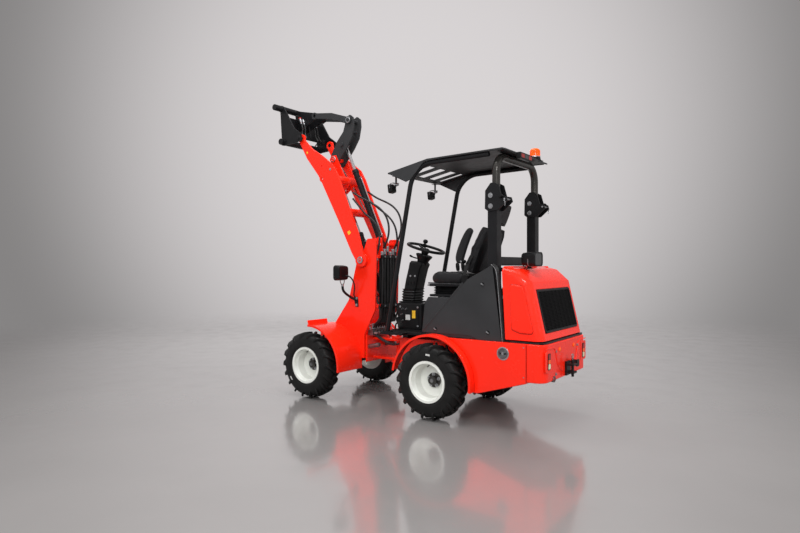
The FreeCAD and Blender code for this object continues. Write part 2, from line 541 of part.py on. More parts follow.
def make_tank(hand, side):
    """A side tank behind the wheel, cut by the arch, with a recess for its filler cap."""
    inner, outer = "railY + railWall", "bodyHalf"
    middle = "%d*(%s + %s)/2" % (side, inner, outer)
    corners = [("-wheelBase/2", "bodyTop"), ("-railRear", "bodyTop"), ("-railRear", "tankRearBottom"),
               ("-tankFront - tankFloorHalf", "tankBottom"), ("-tankFront + tankFloorHalf", "tankBottom"),
               ("-tankFront + tankFloorHalf", "tyreRadius"), ("-wheelBase/2", "tyreRadius")]
    plate = side_plate("Tank", corners, "%s - (%s)" % (outer, inner), y=middle)
    arch = cross_rod("archRadius + fenderWall + seatGap", "2*bodyHalf", "-wheelBase/2", "tyreRadius")
    recess = cross_rod("capRadius", "capRecess", "-capX", "capZ", middle="%d*bodyHalf" % side)
    node("side_tank_" + hand, cut(plate, [arch, recess]))


make_tank("left", 1)
make_tank("right", -1)
node("fuel_cap", cross_rod("capRadius - seatGap", "capWall/2", "-capX", "capZ",
                           middle="bodyHalf - capRecess + capWall/2"))

weight = new_body("Weight", z="weightBottom")
plan = outline(sketch_on(weight, "XY_Plane"), [
    ("-railRear - seatGap", "-bodyHalf"), ("-railRear - seatGap", "bodyHalf"),
    ("-weightRear", "bodyHalf"), ("-weightRear", "-bodyHalf")])
block = pad(weight, plan, "bodyTop - weightBottom", both=False)
rounded(weight, block, plan, (2, 3), "weightRound")
node("counterweight", weight)

tailLamps = []
for side in (1, -1):
    corner = ("-weightRear - tailLampWall", "%d*tailLampY - tailLampWidth/2" % side, "bodyTop - tailLampDrop")
    tailLamps.append(box(("tailLampWall", "tailLampWidth", "tailLampHeight"), corner))
node("tail_lamps", fuse(tailLamps))

node("engine", box(("engineLength", "2*engineHalf", "engineTop - axleTop - railWall"),
                   ("-engineFront - engineLength", "-engineHalf", "axleTop + railWall")))

hitchPlate = box(("hitchWall", "2*hitchHalf", "2*hitchPlateHalf"),
                 ("-hitchFace", "-hitchHalf", "hitchZ - hitchPlateHalf"))
jawHalf = "(hitchHalf - hitchWall/2)"
jaws = [box(("hitchReach", "2*" + jawHalf, "hitchWall"), ("-hitchFace - hitchReach", "-" + jawHalf, level))
        for level in ("hitchZ + hitchMouth", "hitchZ - hitchMouth - hitchWall")]
hitchPin = rod("hitchPinRadius", "2*hitchPinHalf", ("-hitchPinX", "0", "hitchZ - hitchPinHalf"), "Z")
node("hitch", fuse([hitchPlate, hitchPin] + jaws))

# ---- driver's place ---------------------------------------------------------------------------

for hand, side in (("left", 1), ("right", -1)):
    middle = "%d*(panelHalf - panelWall/2)" % side
    node("side_panel_" + hand, side_plate("Panel", PANEL_SIDE, "panelWall", y=middle))

floorBottom = "bodyTop - floorWall"
floorPlate = box(("seatBoxFront - floorFront", "2*floorHalf", "floorWall"),
                 ("-seatBoxFront", "-floorHalf", floorBottom))
steps = [box(("stepRear - floorFront", "stepHalf - floorHalf", "floorWall"),
             ("-stepRear", "floorHalf" if side > 0 else "-stepHalf", floorBottom)) for side in (1, -1)]
floorStand = box(("3*floorWall", "2*railY", "bodyTop - floorWall - railTop"),
                 ("-railFront - 4*floorWall", "-railY", "railTop"))
node("floor", fuse([floorPlate, floorStand] + steps))

consoleRear = "(consoleFront + consoleLength)"
node("console", box(("consoleLength", "2*consoleHalf", "consoleHeight"),
                    ("-" + consoleRear, "-consoleHalf", "bodyTop")))

seatOuter = box(("seatBoxRear - seatBoxFront", "2*seatBoxHalf", "seatBoxHeight"),
                ("-seatBoxRear", "-seatBoxHalf", "bodyTop"))
seatInner = box(
    ("seatBoxRear - seatBoxFront - 2*seatBoxWall", "2*seatBoxHalf - 2*seatBoxWall", "seatBoxHeight"),
    ("-seatBoxRear + seatBoxWall", "-seatBoxHalf + seatBoxWall", "bodyTop - seatBoxWall"))
node("seat_box", cut(seatOuter, [seatInner]))
node("seat_mount", box(("cushionLength - 2*mountInset", "2*cushionHalf - 4*mountInset", "mountHeight"),
                       ("-cushionRear + mountInset", "-cushionHalf + 2*mountInset", "seatBoxTop")))
node("seat_cushion", box(("cushionLength", "2*cushionHalf", "cushionThick"),
                         ("-cushionRear", "-cushionHalf", "cushionBottom")))


def leaned_block(name, thick, width, height, rise):
    """A block on the leaning line of the seat back, raised along it from the cushion's rear edge."""
    lean = math.radians(size("backLean"))
    foot = size("cushionTop") - size("backThick") / 2 * math.tan(lean) + size("seatGap")
    block = doc.addObject("Part::Box", name)
    bind(block, Length=thick, Width=width, Height=height)
    return place(block, "-cushionRear - backThick/2 - %s" % (rise * math.sin(lean)), "-%s/2" % width,
                 foot + rise * math.cos(lean), Rotation(Vector(0, 1, 0), -size("backLean")))


node("seat_back", fuse([leaned_block("Back", "backThick", "backWidth", "backHeight", 0),
                        leaned_block("Head", "headThick", "headWidth", "headHeight", size("backHeight"))]))

steerTilt = Rotation(Vector(0, 1, 0), -size("steerTilt"))


def on_steering_axis(thing, down, aside="0"):
    """Stand an object on the steering axis, down from the wheel's middle and aside across it."""
    return place(thing, "-steerX + (%s)*sin(steerTilt) - (%s)*cos(steerTilt)" % (down, aside), 0,
                 "steerZ - (%s)*cos(steerTilt) - (%s)*sin(steerTilt)" % (down, aside), steerTilt)


def steering_bar(name, radius, down, length):
    bar = doc.addObject("Part::Cylinder", name)
    bind(bar, Radius=radius, Height=length)
    return on_steering_axis(bar, down)


columnBase = box(("columnFootSize", "columnFootSize", "columnFootHeight"),
                 ("-consoleFront - consoleLength/2 - columnFootSize/2", "-columnFootSize/2", "consoleTop"))
columnBox = box(("columnLength", "columnWidth", "columnHeight"),
                ("-columnFront - columnLength", "-columnWidth/2", "columnFoot"))
neckEnd = "steerHubLength + runningGap + neckLength"
neck = steering_bar("Neck", "steerShaft + neckWall", neckEnd, "neckLength")
neckBore = steering_bar("NeckBore", "steerShaft + pinGap", neckEnd + " + runningGap",
                        "neckLength + 2*runningGap")
node("steering_column", cut(fuse([columnBase, columnBox, neck]), [neckBore]))
ring = doc.addObject("Part::Torus", "Ring")
bind(ring, Radius1="steerRadius - steerTube", Radius2="steerTube")
spokes = doc.addObject("Part::Box", "Spoke")
bind(spokes, Length="2*steerRadius - 2*steerTube", Width="spokeWidth", Height="spokeWall")
on_steering_axis(spokes, "0", "steerRadius - steerTube")
bind(spokes, Placement_Base_y="-spokeWidth/2")
hub = steering_bar("Hub", "steerHub", "steerHubLength", "steerHubLength")
shaft = steering_bar("Shaft", "steerShaft", "steerHubLength + neckLength/2", "neckLength")
node("steering_wheel", fuse([on_steering_axis(ring, "0"), spokes, hub, shaft]))

# ---- roll-over bar, hoop, roof and struts -----------------------------------------------------

rollBar = []
for side in (1, -1):
    shell = box(("postSize", "postSize", "postHeight"),
                ("-postX - postSize/2", "%d*postY - postSize/2" % side, "bodyTop"))
    bore = box(("postSize - 2*postWall", "postSize - 2*postWall", "postHeight"),
               ("-postX - postSize/2 + postWall", "%d*postY - postSize/2 + postWall" % side, "bodyTop"))
    rollBar.append(cut(shell, [bore]))
rollBar.append(box(("crossbarSize/2", "2*postY - postSize", "crossbarSize"),
                   ("-postX - crossbarSize/4", "-postY + postSize/2", "crossbarZ - crossbarSize/2")))


def roof_under(behind):
    """Height just under the roof's long flat run, at a distance behind the articulation pin."""
    slope = (size("roofBendZ") - size("visorZ")) / (size("roofBendX") - size("visorX"))
    return size("visorZ") + slope * (behind - size("visorX")) - size("roofWall") - size("seatGap")


hinges = []
for side in (1, -1):
    for face in (1, -1):
        middle = "%d*postY + %d*(postSize/2 + hingeWall/2)" % (side, face)
        hinges.append(side_plate("HingePlate", HINGE_SIDE, "hingeWall", y=middle))
    hinges.append(box(("2*hingeHalf", "postSize", "hingeSaddle"),
                      ("-postX - hingeHalf", "%d*postY - postSize/2" % side, "postTop + hingeSaddle")))
hoopFoot = size("postTop") + 2 * size("hingeSaddle")
hoopTop = roof_under(size("hoopX") - size("hoopRadius")) - size("hoopRadius")
hoopLine = [(size("postY"), hoopFoot), (size("postY"), hoopTop),
            (-size("postY"), hoopTop), (-size("postY"), hoopFoot)]
hoop = path_sweep("Hoop", [machine(-size("hoopX"), y, z) for y, z in hoopLine],
                  size("hoopRadius"), size("hoopBend"))
node("roll_hoop", fuse([hoop] + hinges))

roofLine = [("-roofFront", "roofFrontZ"), ("-visorX", "visorZ"), ("-roofBendX", "roofBendZ"),
            ("-roofRearX", "roofRearZ")]
under = [(x, z + " - roofWall") for x, z in reversed(roofLine)]
roof = side_plate("Roof", roofLine + under, "2*roofHalf")
slots = sketch_on(roof, "XY_Plane")
rear, front = "-visorX + slotStart", "-visorX + slotStart + slotLength"
for middle, width in (("0", "slotWidth"), ("slotPitch", "slotWidth"), ("-slotPitch", "slotWidth"),
                      ("sideSlotY", "sideSlotWidth"), ("-sideSlotY", "sideSlotWidth")):
    low, high = "%s - %s/2" % (middle, width), "%s + %s/2" % (middle, width)
    outline(slots, [(rear, low), (front, low), (front, high), (rear, high)])
pocket(roof, slots)
gussets = [side_plate("Gusset", GUSSET_SIDE, "gussetWall", y="%d*(roofHalf - gussetWall/2)" % side)
           for side in (1, -1)]
node("roof", fuse([roof] + gussets))


def make_strut(hand, side):
    """The slim front post, bent over to run back under the roof's edge."""
    def rail(behind):
        return machine(-behind, side * size("strutY"), roof_under(behind) - size("strutRadius"))
    foot_level = size("bodyTop") + size("strutFootWall") * 2 / 3
    points = [machine(-size("strutFootX"), side * size("strutY"), foot_level), rail(size("strutTopX")),
              rail(size("hoopX") - size("strutRearGap"))]
    tube = path_sweep("Strut", points, size("strutRadius"), size("strutBend"))
    foot = box(("4*strutRadius", "2.4*strutRadius", "strutFootWall"),
               ("-strutFootX - 2*strutRadius", "%d*strutY - 1.2*strutRadius" % side, "bodyTop"))
    below = box(("8*strutRadius", "4*strutRadius", "strutFootWall"),
                ("-strutFootX - 4*strutRadius", "%d*strutY - 2*strutRadius" % side,
                 "bodyTop - strutFootWall"))
    node("roof_strut_" + hand, cut(fuse([tube, foot]), [below]))


make_strut("left", 1)
make_strut("right", -1)

beaconX, beaconY = "-postX - beaconBehind", "-roofHalf + beaconInset"
beaconPlate = box(("beaconPlate", "beaconPlate", "beaconPlateWall"),
                  (beaconX + " - beaconPlate/2", beaconY + " - beaconPlate/2", "roofBendZ + seatGap"))
beaconLight = rod("beaconRadius", "beaconHeight",
                  (beaconX, beaconY, "roofBendZ + seatGap + beaconPlateWall"), "Z")
node("beacon", fuse([beaconPlate, beaconLight]))

visorSlope = (size("visorZ") - size("roofFrontZ")) / size("visorLength")
lampCeiling = (size("roofFrontZ") - size("roofWall") - size("seatGap")
               + (size("roofLampX") - size("roofFront") - size("lampPostRadius")) * visorSlope)
lampTop = "%s - roofLampDrop" % lampCeiling
roofLamps = []
for side in (1, -1):
    y = "%d*roofLampY" % side
    back = "-roofLampX - lampPostRadius"
    roofLamps.append(rod("lampPostRadius", "roofLampDrop", ("-roofLampX", y, lampTop), "Z"))
    roofLamps.append(box(("roofLampReach", "2*lampPostRadius", "lampPostRadius"),
                         (back, y + " - lampPostRadius", lampTop)))
    corner = (back + " + roofLampReach - roofLampSize/2", y + " - roofLampSize/2",
              lampTop + " - roofLampSize")
    roofLamps.append(box(("roofLampSize/2", "roofLampSize", "roofLampSize"), corner))
roofLamps.append(box(("rearLampLength", "rearLampWidth", "rearLampHeight"),
                     ("-roofRearX - seatGap - rearLampLength", "rearLampY - rearLampWidth/2",
                      "roofRearZ - rearLampHeight")))
node("roof_lamps", fuse(roofLamps))


# ---- hood, deck and grille --------------------------------------------------------------------

def hood_block(name, inset, bottom, radius):
    """The hood's outside with an even inset, open to the front, rounded along its top and rear."""
    corners = [("-hoodFront", bottom), ("-hoodTopX", "hoodTopZ - %s" % inset),
               ("-hoodMidX", "hoodMidZ - %s" % inset), ("-hoodBackX + %s" % inset, "hoodBackZ - %s" % inset),
               ("-hoodRear + %s" % inset, bottom)]
    body = new_body(name)
    sketch = outline(sketch_on(body, "XZ_Plane"), corners)
    feature = pad(body, sketch, "2*(hoodHalf - %s)" % inset)
    doc.recompute()
    names = []
    for number, edge in enumerate(feature.Shape.Edges, start=1):
        ends = [vertex.Point for vertex in edge.Vertexes]
        runs_back = abs(ends[0].y - ends[-1].y) < 0.01
        # A body's own shape is in its own frame, so X is counted from the articulation pin here.
        at_front = min(point.x for point in ends) > -size("hoodFront") - 1
        at_bottom = max(point.z for point in ends) < size("hoodBottom") + 1
        if runs_back and not at_front and not at_bottom:
            names.append("Edge%d" % number)
    fillet = body.newObject("PartDesign::Fillet", "Rounding")
    fillet.Base = (feature, names)
    bind(fillet, Radius=radius)
    return body


hoodOuter = hood_block("HoodOuter", "0", "hoodBottom", "hoodRound")
hoodInner = hood_block("HoodInner", "hoodWall", "bodyTop", "hoodRound - hoodWall")
window = box(("2*hoodSlopeRun", "2*grilleHalf", "grilleHeight"),
             ("-hoodRear - grilleWall", "-grilleHalf", "grilleBottom"))
hoodParts = [cut(hoodOuter, [hoodInner, window])]
for side in (1, -1):
    hoodParts.append(side_plate("HoodEar", HOOD_EAR_SIDE, "hoodEarWall", y="%d*hoodEarY" % side,
                                holes=[("hoodPinRadius + pinGap", "-hoodPinX", "hoodPinZ")]))
    rollBar.append(side_plate("BarEar", BAR_EAR_SIDE, "hoodEarWall",
                              y="%d*(hoodEarY + hoodEarWall + runningGap)" % side))
    rollBar.append(cross_rod("hoodPinRadius", "2*hoodEarWall", "-hoodPinX", "hoodPinZ",
                             middle="%d*(hoodEarY + runningGap)" % side))
node("hood", fuse(hoodParts))
node("roll_bar", fuse(rollBar))

deckRing = box(("hoodRear - hoodFront", "2*hoodHalf - 2*runningGap", "deckHeight"),
               ("-hoodRear", "-hoodHalf + runningGap", "bodyTop"))
deckHole = box(("hoodRear - hoodFront", "2*hoodHalf - 2*runningGap - 2*deckWall", "2*deckHeight"),
               ("-hoodRear + deckWall", "-hoodHalf + runningGap + deckWall", "bodyTop - deckHeight/2"))
node("deck", cut(deckRing, [deckHole]))

rearSlope = "(hoodSlopeRun/hoodShoulder)"
rearLow = "-hoodRear + %s*(grilleRise + seatGap) + grilleInset" % rearSlope
rearHigh = "-hoodRear + %s*(grilleRise + grilleHeight - seatGap) + grilleInset" % rearSlope
node("grille", side_plate("Grille", [
    (rearLow, "grilleBottom + seatGap"), (rearHigh, "grilleTop - seatGap"),
    (rearHigh + " + grilleWall", "grilleTop - seatGap"),
    (rearLow + " + grilleWall", "grilleBottom + seatGap")],
    "2*grilleHalf - 2*seatGap"))

workLampX = "(hoodTopX + workLampAlong)"
workLampZ = "(hoodTopZ - hoodCrownDrop/hoodCrown*(workPostAlong - lampPostRadius) + seatGap)"
node("work_lamp", fuse([
    rod("lampPostRadius", "workLampFoot", ("-hoodTopX - workPostAlong", "workLampY", workLampZ), "Z"),
    box(("workLampLength", "workLampWidth", "workLampHeight"),
        ("-%s - workLampLength/2" % workLampX, "workLampY - workLampWidth/2",
         workLampZ + " + workLampFoot"))]))

# ---- front frame and tower --------------------------------------------------------------------

towerParts = []
bossEnd = "(armInner - runningGap)"
pinEnd = "(armOuter + runningGap + pinHeadWall)"
for side in (1, -1):
    towerParts.append(side_plate("TowerPlate", TOWER_SIDE, "towerWall", y="%d*(towerY + towerWall/2)" % side,
                                 round_at=(0, 11, 9, 10), round_by=20))
    for radius, far in (("armFootRadius - bossInset", bossEnd), ("pinRadius", pinEnd)):
        towerParts.append(cross_rod(radius, "(%s - towerY)/2" % far, "boomPivotX", "boomPivotZ",
                                    middle="%d*(%s + towerY)/2" % (side, far)))
    towerParts.append(cross_rod("pinHead", "pinHeadWall/2", "boomPivotX", "boomPivotZ",
                                middle="%d*(armOuter + runningGap + pinHeadWall/2)" % side))
towerParts.append(box(("towerFront - towerRear", "2*towerY", "towerWall"),
                      ("towerRear", "-towerY", "axleTop")))
towerParts.append(box(("towerWall", "2*towerY", "towerNose"),
                      ("towerFront - towerNoseInset", "-towerY", "axleTop")))
for level in ("clampLow", "clampHigh"):
    towerParts.append(box(("clampWall", "2*towerY", "clampHeight"),
                          ("hoseX + hoseRadius + seatGap", "-towerY", level)))
towerParts.append(box(("towerShelfLength", "2*towerY", "towerShelfWall"),
                      ("towerRear - 2*towerShelfLength", "-towerY", "towerShelfZ")))
towerParts.append(cross_rod("pinRadius", "towerY", "liftFootX", "liftFootZ"))
towerParts.append(cross_rod("pinRadius", "towerY", "tiltFootX", "tiltFootZ"))
for side in (1, -1):
    middle = "%d*(tiltBarrelRadius + runningGap + lugPlateWall/2)" % side
    towerParts.append(side_plate("TiltLug", TILT_LUG_SIDE, "lugPlateWall", y=middle))
node("tower", fuse(towerParts))

frontLugs = (hinge_lug(1, "upperLugZ - lugWall - lugGap") + hinge_lug(1, "lowerLugZ + lugWall + lugGap"))
frontLugs.append(box(("towerWall", "2*towerY", "upperLugZ + towerWall - lowerLugZ"),
                     ("towerRear - towerWall", "-towerY", "lowerLugZ")))
frontLugs.append(rod("kingPinRadius", "upperLugZ + lugWall - lowerLugZ + 2*kingPinEnd",
                     ("0", "0", "lowerLugZ - kingPinEnd"), "Z"))
node("articulation", fuse(frontLugs))

hoseEnd = size("upperLugZ") + size("towerWall") + size("valveHeight")
hoses = []
for side in (1, -1):
    for step in range(int(size("hoseCount") / 2)):
        y = side * (size("hoseInnerY") + step * size("hosePitch"))
        route = [(size("hoseX"), size("hoseTop")), (size("hoseX"), size("hoseBendZ")),
                 (size("hoseX") + size("hoseRun"), size("hoseBendZ") - size("hoseFall")),
                 (size("hoseX") + size("hoseRun"), hoseEnd)]
        hoses.append(path_sweep("Hose", [machine(x, y, z) for x, z in route],
                                size("hoseRadius"), size("hoseBend")))
node("tower_hoses", fuse(hoses))
node("valve_block", box(("valveLength", "2*(hoseInnerY + hosePitch + 2*hoseRadius)", "valveHeight"),
                        ("towerRear - valveLength", "-hoseInnerY - hosePitch - 2*hoseRadius",
                         "upperLugZ + towerWall")))

lamps = []
lampPostX = "headLampX + 2*lampPostRadius"
lampPostZ = "headLampZ - lampPostLength"
for side in (1, -1):
    armStart = "towerY + towerWall" if side > 0 else "-headLampY"
    lamps.append(box(("headLampLength", "headLampWidth", "headLampHeight"),
                     ("headLampX", "%d*headLampY - headLampWidth/2" % side, "headLampZ")))
    lamps.append(rod("lampPostRadius", "lampPostLength", (lampPostX, "%d*headLampY" % side, lampPostZ), "Z"))
    lamps.append(rod("lampArmRadius", "headLampY - towerY - towerWall",
                     (lampPostX, armStart, lampPostZ + " + 2*lampArmRadius")))
node("head_lamps", fuse(lamps))

# ---- tool arm ---------------------------------------------------------------------------------

armSlope = Rotation(Vector(0, 1, 0), -size("boomAngle"))


def boom_body(name, y=0):
    """A body whose X runs up the arm from its foot pin and whose Z points at the driver."""
    return new_body(name, x="boomPivotX", y=y, z="boomPivotZ", rotation=armSlope)


def make_arm(hand, side):
    arm = boom_body("Arm", y="%d*armY" % side)
    sketch = outline(sketch_on(arm, "XZ_Plane"), ARM_SIDE)
    rounded(arm, pad(arm, sketch, "armWall"), sketch, ARM_ROUND_AT, "armRound")
    bosses = sketch_on(arm, "XZ_Plane")
    circle(bosses, "armFootRadius")
    circle(bosses, "armTipRadius", "boomLength")
    circle(bosses, "armLobeRadius", "boomLength - armHoleBack", "armHoleAbove")
    pad(arm, bosses, "armWall")
    bores = sketch_on(arm, "XZ_Plane")
    circle(bores, "pinRadius + pinGap")
    circle(bores, "pinRadius + pinGap", "boomLength")
    circle(bores, "armHoleRadius", "boomLength - armHoleBack", "armHoleAbove")
    circle(bores, "smallHoleRadius", "boomLength - smallHoleBack", "smallHoleAbove")
    pocket(arm, bores)
    node("arm_" + hand, arm)


make_arm("left", 1)
make_arm("right", -1)


def boom_lug(name, corners, y):
    lug = boom_body(name, y=y)
    pad(lug, outline(sketch_on(lug, "XZ_Plane"), corners), "lugPlateWall")
    return lug


tubes = []
for tube in ("lowTube", "highTube"):
    x, z = on_boom(size(tube + "Along"), size(tube + "Above"))
    tubes.append(cross_rod(tube + "Radius", "armInner", x, z))
for side in (1, -1):
    tubes.append(boom_lug("RockerLug", ROCKER_LUG_SIDE, "%d*rockerLugY" % side))
    tubes.append(boom_lug("LiftLug", LIFT_LUG_SIDE, "%d*liftLugY" % side))
tubes.append(cross_rod("pinRadius", "rockerLugY + lugPlateWall/2 + pinEnd", rockerX, rockerZ))
node("arm_tubes", fuse(tubes))

# ---- rocker, link and tool carrier ------------------------------------------------------------

rockerParts = []
for side in (1, -1):
    body = new_body("RockerPlate", x=rockerX, y="%d*rockerY" % side, z=rockerZ)
    sketch = outline(sketch_on(body, "XZ_Plane"), ROCKER_SIDE)
    rounded(body, pad(body, sketch, "rockerWall"), sketch, ROCKER_ROUND_AT, "rockerRound")
    bores = sketch_on(body, "XZ_Plane")
    circle(bores, "pinRadius + pinGap")
    pocket(body, bores)
    rockerParts.append(body)
    rockerParts.append(cross_rod("pinRadius", "stubLength/2 + pinEnd/2", rodEyeX, rodEyeZ,
                                 middle="%d*(rockerY - rockerWall/2 + stubLength/2 + pinEnd/2)" % side))
rockerParts.append(cross_rod("tieRadius", "rockerY", "%s + tieX" % rockerX, "%s + tieZ" % rockerZ))
rockerParts.append(cross_rod("linkPinRadius", "linkY + linkWall/2 + pinEnd", linkRearX, linkRearZ))
node("rocker", fuse(rockerParts))

linkRise = math.degrees(math.atan2(linkFrontZ - linkRearZ, linkFrontX - linkRearX))
linkSpan = math.hypot(linkFrontZ - linkRearZ, linkFrontX - linkRearX)
linkParts = []
for side in (1, -1):
    body = new_body("LinkPlate", x=linkRearX, y="%d*linkY" % side, z=linkRearZ,
                    rotation=Rotation(Vector(0, 1, 0), -linkRise))
    pad(body, outline(sketch_on(body, "XZ_Plane"), [
        (0, "-linkHalf"), (linkSpan / 2, "-linkHalf + linkWaist"), (linkSpan, "-linkHalf"),
        (linkSpan, "linkHalf"), (linkSpan / 2, "linkHalf + linkCrown"), (0, "linkHalf")]), "linkWall")
    ends = sketch_on(body, "XZ_Plane")
    circle(ends, "linkEyeRadius")
    circle(ends, "linkEyeRadius", linkSpan)
    pad(body, ends, "linkWall")
    bores = sketch_on(body, "XZ_Plane")
    circle(bores, "linkPinRadius + pinGap")
    circle(bores, "linkPinRadius", linkSpan)
    pocket(body, bores)
    linkParts.append(body)
share = size("linkTieShare")
linkParts.append(cross_rod("tieRadius", "linkY", linkRearX + (linkFrontX - linkRearX) * share,
                           linkRearZ + (linkFrontZ - linkRearZ) * share + size("linkTieRise")))
node("link", fuse(linkParts))


def carrier_plate(name, corners, y, wall):
    body = new_body(name, x=toolPinX, y=y, z=toolPinZ)
    pad(body, outline(sketch_on(body, "XZ_Plane"), corners), wall)
    return body


carrierParts = []
toolPinEnd = "(cheekY + cheekWall/2 + pinEnd)"
for side in (1, -1):
    carrierParts.append(carrier_plate("Cheek", CHEEK_SIDE, "%d*cheekY" % side, "cheekWall"))
    carrierParts.append(carrier_plate("LinkLug", LINK_LUG_SIDE, "%d*linkLugY" % side, "lugPlateWall"))
    for spot in ("bar", "lock"):
        carrierParts.append(cross_rod(spot + "Radius + collarWall", "cheekWall/2",
                                      "%s + %sX" % (toolPinX, spot), "%s + %sZ" % (toolPinZ, spot),
                                      middle="%d*cheekY" % side))
    carrierParts.append(cross_rod("pinRadius", "(%s - armInner)/2" % toolPinEnd, toolPinX, toolPinZ,
                                  middle="%d*(%s + armInner)/2" % (side, toolPinEnd)))
carrierParts.append(cross_rod("barRadius", "barHalf", "%s + barX" % toolPinX, "%s + barZ" % toolPinZ))
carrierParts.append(cross_rod("lockRadius", "cheekY + cheekWall/2 + lockReach",
                              "%s + lockX" % toolPinX, "%s + lockZ" % toolPinZ))
carrierParts.append(box(("carrierPlateWall", "2*cheekY", "carrierPlateHeight"),
                        ("%s + barX - carrierPlateSetback" % toolPinX, "-cheekY",
                         "%s + carrierPlateBottom" % toolPinZ)))
node("carrier", fuse(carrierParts))


# ---- hydraulic cylinders and hoses ------------------------------------------------------------

def make_cylinder(label, foot, eye, barrel_radius, rod_radius):
    """Barrel with its foot eye, and rod with its far eye, both along the line between the pins."""
    reach = math.hypot(eye[0] - foot[0], eye[1] - foot[1])
    rise = math.atan2(eye[1] - foot[1], eye[0] - foot[0])
    axis = Rotation(Vector(0, 1, 0), -math.degrees(rise)) * ALONG["X"]
    first = size("eyeRadius") * size("eyeBlend")
    barrel = reach - size(label + "RodShow")

    def bar(radius, length, start):
        thing = doc.addObject("Part::Cylinder", "Along")
        bind(thing, Radius=radius, Height=length)
        return place(thing, foot[0] + start * math.cos(rise), 0, foot[1] + start * math.sin(rise), axis)

    def eyed(thing, middle):
        ring = cross_rod("eyeRadius", "eyeHalf", *middle)
        hole = cross_rod("pinRadius + pinGap", "2*eyeHalf", *middle)
        return cut(fuse([thing, ring]), [hole])

    bore = bar(rod_radius + " + boreClear", barrel, first + size("barrelHead"))
    tube = cut(bar(barrel_radius, barrel, first), [bore])
    node(label + "_barrel", eyed(tube, foot))
    start = first + size(label + "RodStart")
    node(label + "_rod", eyed(bar(rod_radius, reach - start - first, start), eye))


tiltFoot = (size("tiltFootX"), size("tiltFootZ"))
liftFoot = (size("liftFootX"), size("liftFootZ"))
make_cylinder("tilt", tiltFoot, (rodEyeX, rodEyeZ), "tiltBarrelRadius", "tiltRodRadius")
make_cylinder("lift", liftFoot, (liftEyeX, liftEyeZ), "liftBarrelRadius", "liftRodRadius")

# ---- check and write --------------------------------------------------------------------------

doc.recompute()
faulty = [item.Label for item in doc.Objects if "Invalid" in item.State or "Error" in item.State]
assert not faulty, "failed objects: %s" % faulty
bad = [label for label, item in nodes.items() if item.Shape.isNull() or not item.Shape.isValid()]
assert not bad, "bad shapes: %s" % bad

os.makedirs("parts", exist_ok=True)
for label, item in nodes.items():
    item.Shape.exportStep("parts/%s.step" % label)
whole = Part.makeCompound([item.Shape for item in nodes.values()]).BoundBox
print("%d pieces, X %.0f to %.0f, Y %.0f to %.0f, Z %.0f to %.0f" % (
    len(nodes), whole.XMin, whole.XMax, whole.YMin, whole.YMax, whole.ZMin, whole.ZMax))
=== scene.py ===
import json
import math

import bmesh
import bpy
from mathutils import Matrix, Vector


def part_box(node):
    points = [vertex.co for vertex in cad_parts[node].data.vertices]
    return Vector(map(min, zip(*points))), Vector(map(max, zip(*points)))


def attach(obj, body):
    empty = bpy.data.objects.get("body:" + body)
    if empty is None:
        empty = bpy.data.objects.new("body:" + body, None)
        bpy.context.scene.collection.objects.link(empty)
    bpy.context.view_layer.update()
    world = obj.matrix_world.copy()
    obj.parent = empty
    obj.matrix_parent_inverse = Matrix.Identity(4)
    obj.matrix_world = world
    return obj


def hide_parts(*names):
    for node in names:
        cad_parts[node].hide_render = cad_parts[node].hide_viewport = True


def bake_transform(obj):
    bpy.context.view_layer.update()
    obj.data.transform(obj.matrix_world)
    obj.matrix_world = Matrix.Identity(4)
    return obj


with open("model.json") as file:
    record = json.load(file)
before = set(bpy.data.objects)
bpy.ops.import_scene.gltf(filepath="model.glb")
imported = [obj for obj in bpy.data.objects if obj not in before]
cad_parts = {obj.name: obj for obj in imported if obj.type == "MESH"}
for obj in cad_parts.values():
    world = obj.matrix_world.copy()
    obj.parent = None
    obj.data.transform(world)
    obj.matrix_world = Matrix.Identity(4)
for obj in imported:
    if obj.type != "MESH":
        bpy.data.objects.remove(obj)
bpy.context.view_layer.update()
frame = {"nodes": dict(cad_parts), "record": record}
nodes = frame["nodes"]
record = frame["record"]
bodyOfNode = {label: body for body, labels in record["behaviour"]["bodies"].items() for label in labels}
slotOfNode = {row["node"]: row["material_slot"] for row in record["subparts"]}
jointPlace = {row["name"]: Vector(row["pos_m"]) for row in record["behaviour"]["joints"] if "pos_m" in row}
across = Vector((0.0, 1.0, 0.0))
upward = Vector((0.0, 0.0, 1.0))
sides = {"left": 1, "right": -1}
# points nearer than this are made one, in a spun shape and in a node's copy
weld = {"spun": 0.00002, "node": 0.00001}
print("frame loaded,", len(nodes), "nodes")


def deselectAll():
    active = bpy.context.view_layer.objects.active
    if active and active.mode != "OBJECT":
        bpy.ops.object.mode_set(mode="OBJECT")
    bpy.ops.object.select_all(action="DESELECT")


def pick(*pieces):
    deselectAll()
    for piece in pieces:
        piece.select_set(True)
    bpy.context.view_layer.objects.active = pieces[0]
    return pieces[0]


def openMesh(piece):
    # edit mode with nothing selected
    pick(piece)
    bpy.ops.object.mode_set(mode="EDIT")
    bpy.ops.mesh.select_mode(type="FACE")
    bpy.ops.mesh.select_all(action="DESELECT")
    return bmesh.from_edit_mesh(piece.data)


def settle(piece):
    pick(piece)
    bpy.ops.object.transform_apply(location=True, rotation=True, scale=True)
    return piece


def useModifier(piece, kind, **values):
    pick(piece)
    tool = piece.modifiers.new(kind.lower(), kind)
    for key, value in values.items():
        setattr(tool, key, value)
    bpy.ops.object.modifier_apply(modifier=tool.name)
    return piece


def roundEdges(piece, width=0.0015, segments=2, angle=35, clamp=True):
    return useModifier(piece, "BEVEL", width=width, segments=segments, limit_method="ANGLE",
            angle_limit=math.radians(angle), use_clamp_overlap=clamp)


